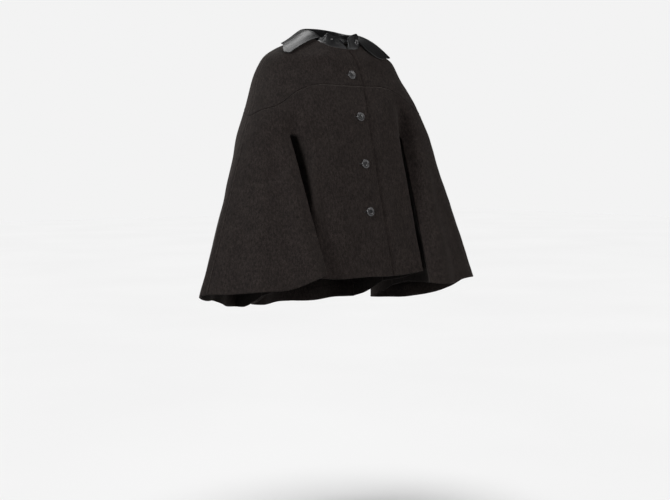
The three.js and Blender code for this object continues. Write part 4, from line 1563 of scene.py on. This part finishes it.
def smooth_by_angle(piece, limit=math.radians(40)):
    """Smooth shading that keeps the sharp edges of the drilled holes."""
    for polygon in piece.data.polygons:
        polygon.use_smooth = True
    body = bmesh.new()
    body.from_mesh(piece.data)
    for edge in body.edges:
        edge.smooth = len(edge.link_faces) == 2 and edge.calc_face_angle(0) < limit
    body.to_mesh(piece.data)
    body.free()


print("buttons to turn:", len(BUTTONS))

# %% [markdown]
# ## Threads
# Every thread on the coat is a short tube along its own few points: in the buttons, along the seams and
# round the buttonholes. All the threads of one place are one mesh, which keeps the scene quick.

# %% Threads
THREAD_END = 0.05


def tubes(name, runs, radius, material, sides=6):
    """Short threads, each along its own list of points in metres, as one mesh with round ends."""
    body = bmesh.new()
    for run in runs:
        path = [Vector(p) for p in run]
        ahead = (path[-1] - path[0]).normalized()
        aside = ahead.orthogonal().normalized()
        up = ahead.cross(aside)
        rings = []
        for k, point in enumerate(path):
            share = k / (len(path) - 1)
            wide = radius * math.sqrt(max(1 - (2 * share - 1) ** 4, THREAD_END))
            turns = [math.tau * n / sides for n in range(sides)]
            ways = [aside * math.cos(t) + up * math.sin(t) for t in turns]
            rings.append([body.verts.new(point + way * wide) for way in ways])
        for low, high in zip(rings, rings[1:]):
            for n in range(sides):
                following = (n + 1) % sides
                body.faces.new((low[n], low[following], high[following], high[n]))
        body.faces.new(rings[0][::-1])
        body.faces.new(rings[-1])
    bmesh.ops.recalc_face_normals(body, faces=body.faces)
    mesh = bpy.data.meshes.new(name)
    body.to_mesh(mesh)
    body.free()
    mesh.shade_smooth()
    mesh.materials.append(material)
    made = bpy.data.objects.new(name, mesh)
    bpy.context.scene.collection.objects.link(made)
    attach(made, "root")
    return made


print("a thread's end is", THREAD_END, "of its thickness squared")

# %% [markdown]
# ## Sewing the buttons on
# A button's solid tells where it sits: the direction in which a flat disc has least depth is the one that
# it faces. The turned button goes there, and five strands cross from hole to hole on each side.

# %% Buttons in their places
THREAD_RADIUS = 0.022
STRANDS = 5
STRAND_GAP = 0.028


def node_frame(name):
    """The middle of a button's solid, and the direction in which it faces."""
    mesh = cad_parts[name].data
    points = np.array([v.co[:] for v in mesh.vertices])
    centre = points.mean(0)
    _, vectors = np.linalg.eigh(np.cov((points - centre).T))
    facing = vectors[:, 0]
    if facing[1] > 0:
        facing = -facing
    heights = points @ facing
    middle = (points.min(0) + points.max(0)) / 2
    middle = middle + facing * (heights.min() - middle @ facing)
    return Vector(middle), Vector(facing)


def sewing(radius, height, put):
    """The runs of thread through a button's holes; put sets a point onto the coat."""
    reach, deck = radius * HOLE_PLACE, height * 0.5
    bow = ((-1, -0.2), (-0.9, 1.05), (0, 1.4), (0.9, 1.05), (1, -0.2))
    runs = []
    for strand in range(STRANDS):
        aside = (strand - STRANDS // 2) * radius * STRAND_GAP
        for side in (-1, 1):
            runs.append([put @ Vector((x * reach, side * reach + aside, z * deck)) for x, z in bow])
    return runs


button_spots = {}
for name, size, turned in BUTTONS:
    radius = size * MM
    height = radius * BUTTON_HEIGHT
    seat, facing = node_frame(name)
    button_spots[name] = (seat, facing)
    put = place_at(seat, facing, turned)
    profile = [(wide * radius, up * height) for wide, up in BUTTON_PROFILE]
    disc = lathe(name + "_horn", profile, BUTTON_SIDES)
    cut_holes(disc, radius, height)
    disc.data.transform(put)
    disc.data.materials.clear()
    disc.data.materials.append(HORN_FINISH)
    smooth_by_angle(disc)
    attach(disc, "root")
    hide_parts(name)
    thread = tubes(name + "_thread", sewing(radius, height, put), radius * THREAD_RADIUS, DARK_THREAD)
print("buttons:", {name: [round(c, 3) for c in seat] for name, (seat, _) in button_spots.items()})

# %% [markdown]
# ## Stitching
# The yoke seams are stitched down close to the seam, in thread of the wool's colour. The leather is
# stitched 3.5 mm inside its edge. A stitch is about 3 mm long and sinks a little at its ends.

# %% Stitches
STITCH = 3.2
STITCH_GAP = 0.9
STITCH_SIDES = 5
# how far a stitch stands over the cloth along its length, in radii of the thread
STITCH_ARCH = (-0.5, 0.55, 0.8, 0.55, -0.5)
WOOL_THREAD_RADIUS = 0.00024
LEATHER_THREAD_RADIUS = 0.00026
YOKE_STITCH_ROW = 3


def line_on(piece, ids):
    """Points of a piece's outer side, in metres, along a line of skin points."""
    index = outer_index[piece]
    made = wool_pieces.get(piece) or leather_pieces[piece]
    return np.array([made.data.vertices[index[i]].co[:] for i in ids])


def surface_of(piece):
    return BVHTree.FromObject(piece, bpy.context.evaluated_depsgraph_get())


def stitches(name, paths, piece, radius):
    """Stitches along paths in metres, lying on a piece."""
    surface = surface_of(piece)
    runs = []
    for path in paths:
        step = np.linalg.norm(np.diff(path, axis=0), axis=1)
        walked = np.concatenate([[0], np.cumsum(step)])
        count = int(walked[-1] / ((STITCH + STITCH_GAP) * MM))
        for k in range(count):
            start = walked[-1] * (k + 0.1) / count
            marks = start + np.linspace(0, STITCH * MM, len(STITCH_ARCH))
            spots = np.stack([np.interp(marks, walked, path[:, axis]) for axis in range(3)], 1)
            _, up, _, _ = surface.find_nearest(Vector(spots[2]))
            lift = np.array(STITCH_ARCH)[:, None] * radius
            runs.append(spots + np.array(up[:]) * lift)
    made = tubes(name, runs, radius, DARK_THREAD, STITCH_SIDES)
    return made


bpy.context.view_layer.update()
for piece, names in (
    ("yoke_front_right", ["frontRight"]),
    ("yoke_front_left", ["frontLeft"]),
    ("yoke_back", ["backRight", "backLeft"]),
):
    paths = [line_on(piece, yoke_patches[name]["ids"][-1 - YOKE_STITCH_ROW]) for name in names]
    stitches(
        piece + "_stitching", paths, wool_pieces[piece], WOOL_THREAD_RADIUS
    )

# %% [markdown]
# ## Stitches of the leather
# A needle leaves a hole in leather for good, so a maker sews it once, in one even row beside the edge. The
# row follows the outer edge of the leaf or the stand, and turns the corner at an open front end.


# %% Stitches of the leather
def edge_path(patch, piece, distance):
    """A line inside a leather patch's outer and front edges."""
    spots = np.array([line_on(piece, row) for row in patch["ids"]])
    hem = patch["hem"]
    row = int(np.argmin(np.abs(hem[:, hem.shape[1] // 2] - distance)))
    along = spots[row]
    if patch["edge"].min() > FAR / 2:
        return along
    column = int(np.argmin(np.abs(patch["edge"][row + 1] - distance)))
    return np.concatenate([spots[row:, column][::-1], along[column:]])


for piece in ("collar", "collar_stand"):
    own = [patch for patch in leather_patches if patch["piece"] == piece]
    paths = [edge_path(patch, piece, STITCH_INSET) for patch in own]
    stitches(
        piece + "_stitching", paths, leather_pieces[piece], LEATHER_THREAD_RADIUS
    )

# %% [markdown]
# ## Buttonholes
# A worked buttonhole is a slit with close thread all round it. It lies across the front, and the button
# sits near its outer end, so only a few millimetres show beside the button. The stand's right end has a
# small one in grey thread. A texture could draw them, but real threads also catch the light.

# %% Buttonholes
HOLE_LENGTH = 25
HOLE_BESIDE_BUTTON = 8.5
HOLE_GAP = 0.25
HOLE_BEAD = 1.5
HOLE_PITCH = 0.5
HOLE_THREAD = {"radius": 0.27, "sides": 5}
HOLE_END_STITCHES = 8
# share of the way over the bead, and height over the cloth
BEAD_ARCH = ((0, -0.3), (0.2, 0.25), (0.5, 0.45), (0.8, 0.25), (1, -0.3))
SLIT_STEPS = 12
SLIT = {"radius": 0.3, "height": 0.12}
PROBE_START = 0.02
PROBE_REACH = 0.06


def bead_spots(along, across_it, length):
    """Where the stitches start along a slit, and which way each one points."""
    half = length / 2 * MM
    steps = int(length / HOLE_PITCH)
    spots = []
    for side in (-1, 1):
        for k in range(steps + 1):
            spots.append((-half + 2 * half * k / steps, across_it * side))
    for end in (-1, 1):
        for k in range(1, HOLE_END_STITCHES):
            turn = math.pi * k / HOLE_END_STITCHES
            spots.append((end * half, along * end * math.sin(turn) + across_it * math.cos(turn)))
    return spots


def buttonhole(name, centre, facing, along, length, material, piece):
    """Close stitches round a slit. centre is in metres; along is the slit's direction."""
    surface = surface_of(piece)

    def on_cloth(point, height):
        hit = surface.ray_cast(point + facing * PROBE_START, -facing, PROBE_REACH)
        return (hit[0] if hit[0] else point) + facing * height * MM

    runs = []
    for place, way in bead_spots(along, facing.cross(along).normalized(), length):
        inner = centre + along * place + way * HOLE_GAP * MM
        outer = centre + along * place + way * (HOLE_GAP + HOLE_BEAD) * MM
        runs.append([on_cloth(inner.lerp(outer, share), height) for share, height in BEAD_ARCH])
    bead = tubes(name, runs, HOLE_THREAD["radius"] * MM, material, HOLE_THREAD["sides"])
    half = length / 2 * MM
    marks = [-half + 2 * half * k / SLIT_STEPS for k in range(SLIT_STEPS + 1)]
    slit = [on_cloth(centre + along * mark, SLIT["height"]) for mark in marks]
    opening = tubes(name + "_slit", [slit], SLIT["radius"] * MM, DARK_THREAD)


for name, (seat, facing) in button_spots.items():
    if name != "neck_button":
        along = Vector((1, 0, 0)) - facing * facing.x
        along.normalize()
        centre = seat - along * HOLE_BESIDE_BUTTON * MM
        piece = wool_pieces["yoke_front_right" if name == "button_1" else "front_right"]
        buttonhole(name + "_hole", centre, facing, along, HOLE_LENGTH, DARK_THREAD, piece)
print("buttonholes down the front:", len(button_spots) - 1)

# %% [markdown]
# ## The stand's small hole
# The photograph shows a grey dot near the stand's right end. It is taken for a small worked hole, so the
# same function makes it on the leather, with a shorter slit and grey thread.

# %% The stand's small hole
NECK_HOLE_AT = (-48, -72, -13)
NECK_HOLE_LENGTH = 4
stand = leather_pieces["collar_stand"]
spot, facing, _, _ = surface_of(stand).find_nearest(Vector(NECK_HOLE_AT) * MM)
along = facing.cross(Vector((0, 0, 1))).normalized()
buttonhole("neck_hole", spot, facing, along, NECK_HOLE_LENGTH, GREY_THREAD, stand)
print("small hole at", [round(c, 3) for c in spot])

# %% [markdown]
# ## Camera
# The camera has the photograph's viewing angle: level, at the height of the coat's middle, turned 37
# degrees to the coat's right, and 3.5 m away. Its lens is shifted, as on a view camera, so that the coat
# stands where it does in the photograph and upright lines stay upright.

# %% Camera
AXIS_X, HORIZON_Y, FOCAL = 330, 169, 1136
WIDTH, HEIGHT = 670, 500
CAMERA_TURN = math.radians(-37)
CAMERA_DISTANCE = 3.5
CAMERA_Z = -0.403
SENSOR = 36

lens_data = bpy.data.cameras.new("camera")
camera = bpy.data.objects.new("camera", lens_data)
bpy.context.scene.collection.objects.link(camera)
lens_data.sensor_width = SENSOR
lens_data.lens = FOCAL * SENSOR / WIDTH
lens_data.shift_x = (WIDTH / 2 - AXIS_X) / WIDTH
lens_data.shift_y = (HORIZON_Y - HEIGHT / 2) / WIDTH
camera.location = (
    CAMERA_DISTANCE * math.sin(CAMERA_TURN),
    -CAMERA_DISTANCE * math.cos(CAMERA_TURN),
    CAMERA_Z,
)
camera.rotation_euler = (math.pi / 2, 0, CAMERA_TURN)
bpy.context.scene.camera = camera
print("camera at", [round(c, 3) for c in camera.location], "lens", round(lens_data.lens, 2))

# %% [markdown]
# ## Floor
# A plain pale floor lies 1.5 m below the neck, and the coat hangs free above it. The floor has a wash of
# light of its own, so that the coat's lamps can be set without a change of the floor's tone. The coat's
# shadow falls low on it: only its edge shows from the photograph's angle, and most of it from behind.

# %% Floor
FLOOR_Z = -1.5


def stage_material():
    material, tree, shader = new_material("pale_floor")
    where = node(tree, "ShaderNodeTexCoord").outputs["Object"]
    soft = noise(tree, where, 0.8, 2, 0.5)
    tree.links.new(ramp(tree, soft, (0.3, grey(0.86)), (0.7, grey(0.88))), shader.inputs["Base Color"])
    shader.inputs["Roughness"].default_value = 0.9
    shader.inputs["Specular IOR Level"].default_value = 0.1
    return material


def make_floor():
    body = bmesh.new()
    bmesh.ops.create_grid(body, x_segments=12, y_segments=12, size=20)
    mesh = bpy.data.meshes.new("floor")
    body.to_mesh(mesh)
    body.free()
    mesh.transform(Matrix.Translation((0, 0, FLOOR_Z)))
    mesh.materials.append(stage_material())
    floor = bpy.data.objects.new("floor", mesh)
    bpy.context.scene.collection.objects.link(floor)
    floor.visible_diffuse = False
    return floor


floor = make_floor()
garment = [o for o in bpy.context.scene.objects if o.type == "MESH" and o is not floor]
print("pieces on the stage:", len(garment))

# %% [markdown]
# ## Lamps
# Two large soft lamps light the front, one of them from the side, so that the folds show. Two more light
# the back. The last two show only as highlights: one in the buttons, and one in the leather leaf on the
# coat's right, which lies so that it mirrors what is above it.

# %% Lamps
# name, place, watts, width, whether it lights the cloth, whether it shows as a highlight
LIGHTS = (
    ("key", (-3.3, -0.7, 0.8), 88, 1.3, True, True),
    ("fill", (0.6, -3.6, 0.3), 100, 1.5, True, False),
    ("rear_left", (2.5, 2.5, 0.5), 90, 1.6, True, False),
    ("rear_right", (-1.6, 3.2, 0.5), 62, 1.6, True, False),
    ("shine", (1.9, -3.2, 1.2), 7, 0.5, False, True),
    ("leaf_shine", (0.1, 0.75, 2.6), 50, 2.4, False, True),
)
LIT_POINT = (0, 0, -0.35)
FLOOR_WASH = 2.96
WASH_ANGLE = 45
WASH_PLACE = (0, 0, 4)


def lit_by(light, things):
    """Limits a light to some things, so that coat and floor are lit apart."""
    group = bpy.data.collections.new(light.name + "_lights")
    for thing in things:
        group.objects.link(thing)
    light.light_linking.receiver_collection = group


def add_light(name, kind, place, power, size, target):
    data = bpy.data.lights.new(name, kind)
    data.energy = power
    if kind == "AREA":
        data.shape = "DISK"
        data.size = size
    else:
        data.angle = math.radians(size)
    light = bpy.data.objects.new(name, data)
    light.location = place
    aim = Vector(target) - Vector(place)
    light.rotation_euler = aim.to_track_quat("-Z", "Y").to_euler()
    bpy.context.scene.collection.objects.link(light)
    return light


for name, place, watts, width, lights, shines in LIGHTS:
    light = add_light(name, "AREA", place, watts, width, LIT_POINT)
    light.visible_diffuse = lights
    light.visible_glossy = shines
    lit_by(light, garment)
lit_by(add_light("floor_wash", "SUN", WASH_PLACE, FLOOR_WASH, WASH_ANGLE, (0, 0, 0)), [floor])

# %% [markdown]
# ## Surround
# The surround is seen as an even pale grey, and gives the coat a faint light from behind and above. A
# light path node tells the two apart.

# %% Surround
PALE = 0.896
BEHIND = (-0.41, 0.72, 0.56)
# from, to: the share of the way behind, above and over the horizon, and the strength there
FROM_BEHIND = (0.55, 0.95, 0.03, 0.3)
FROM_ABOVE = (0.3, 0.95, 0.0, 0.08)
OVER_HORIZON = (-0.25, 0.02, 0.04, 1.0)


def map_range(tree, value, low, high, to_low, to_high):
    made = node(tree, "ShaderNodeMapRange", interpolation_type="SMOOTHSTEP")
    for key, number in (("From Min", low), ("From Max", high), ("To Min", to_low), ("To Max", to_high)):
        made.inputs[key].default_value = number
    tree.links.new(value, made.inputs["Value"])
    return made.outputs["Result"]


def maths(tree, operation, a, b):
    made = node(tree, "ShaderNodeMath", operation=operation)
    tree.links.new(a, made.inputs[0])
    tree.links.new(b, made.inputs[1])
    return made.outputs[0]


def studio_surround():
    """The pale surround: the camera sees it evenly, and it lights more from behind and above."""
    world = bpy.data.worlds.new("studio")
    world.use_nodes = True
    tree = world.node_tree
    tree.nodes.clear()
    where = node(tree, "ShaderNodeTexCoord").outputs["Generated"]
    split = node(tree, "ShaderNodeSeparateXYZ")
    tree.links.new(where, split.inputs[0])
    behind = node(tree, "ShaderNodeVectorMath", operation="DOT_PRODUCT")
    tree.links.new(where, behind.inputs[0])
    behind.inputs[1].default_value = BEHIND
    rear = map_range(tree, behind.outputs["Value"], *FROM_BEHIND)
    above = map_range(tree, split.outputs["Z"], *FROM_ABOVE)
    open_sky = map_range(tree, split.outputs["Z"], *OVER_HORIZON)
    given = node(tree, "ShaderNodeBackground")
    strength = maths(tree, "MULTIPLY", maths(tree, "ADD", rear, above), open_sky)
    tree.links.new(strength, given.inputs["Strength"])
    seen = node(tree, "ShaderNodeBackground", Color=(PALE, PALE, PALE, 1), Strength=1.0)
    ray = node(tree, "ShaderNodeLightPath")
    choose = node(tree, "ShaderNodeMixShader")
    tree.links.new(ray.outputs["Is Camera Ray"], choose.inputs[0])
    tree.links.new(given.outputs[0], choose.inputs[1])
    tree.links.new(seen.outputs[0], choose.inputs[2])
    tree.links.new(choose.outputs[0], node(tree, "ShaderNodeOutputWorld").inputs["Surface"])
    bpy.context.scene.world = world


studio_surround()
bpy.context.scene.view_settings.view_transform = "Standard"
print("surround:", bpy.context.scene.world.name)

# %% [markdown]
# ## The cut pieces
# The table of wool cuts lists each piece's flat size, how it is held and what it lies on. This cell only
# counts the pieces. The sizes were measured along the cloth: down the longest column and along the longest
# edge.

# %% Sheets
print("sheets:", len(WOOL_CUTS) + len(leather_pieces))
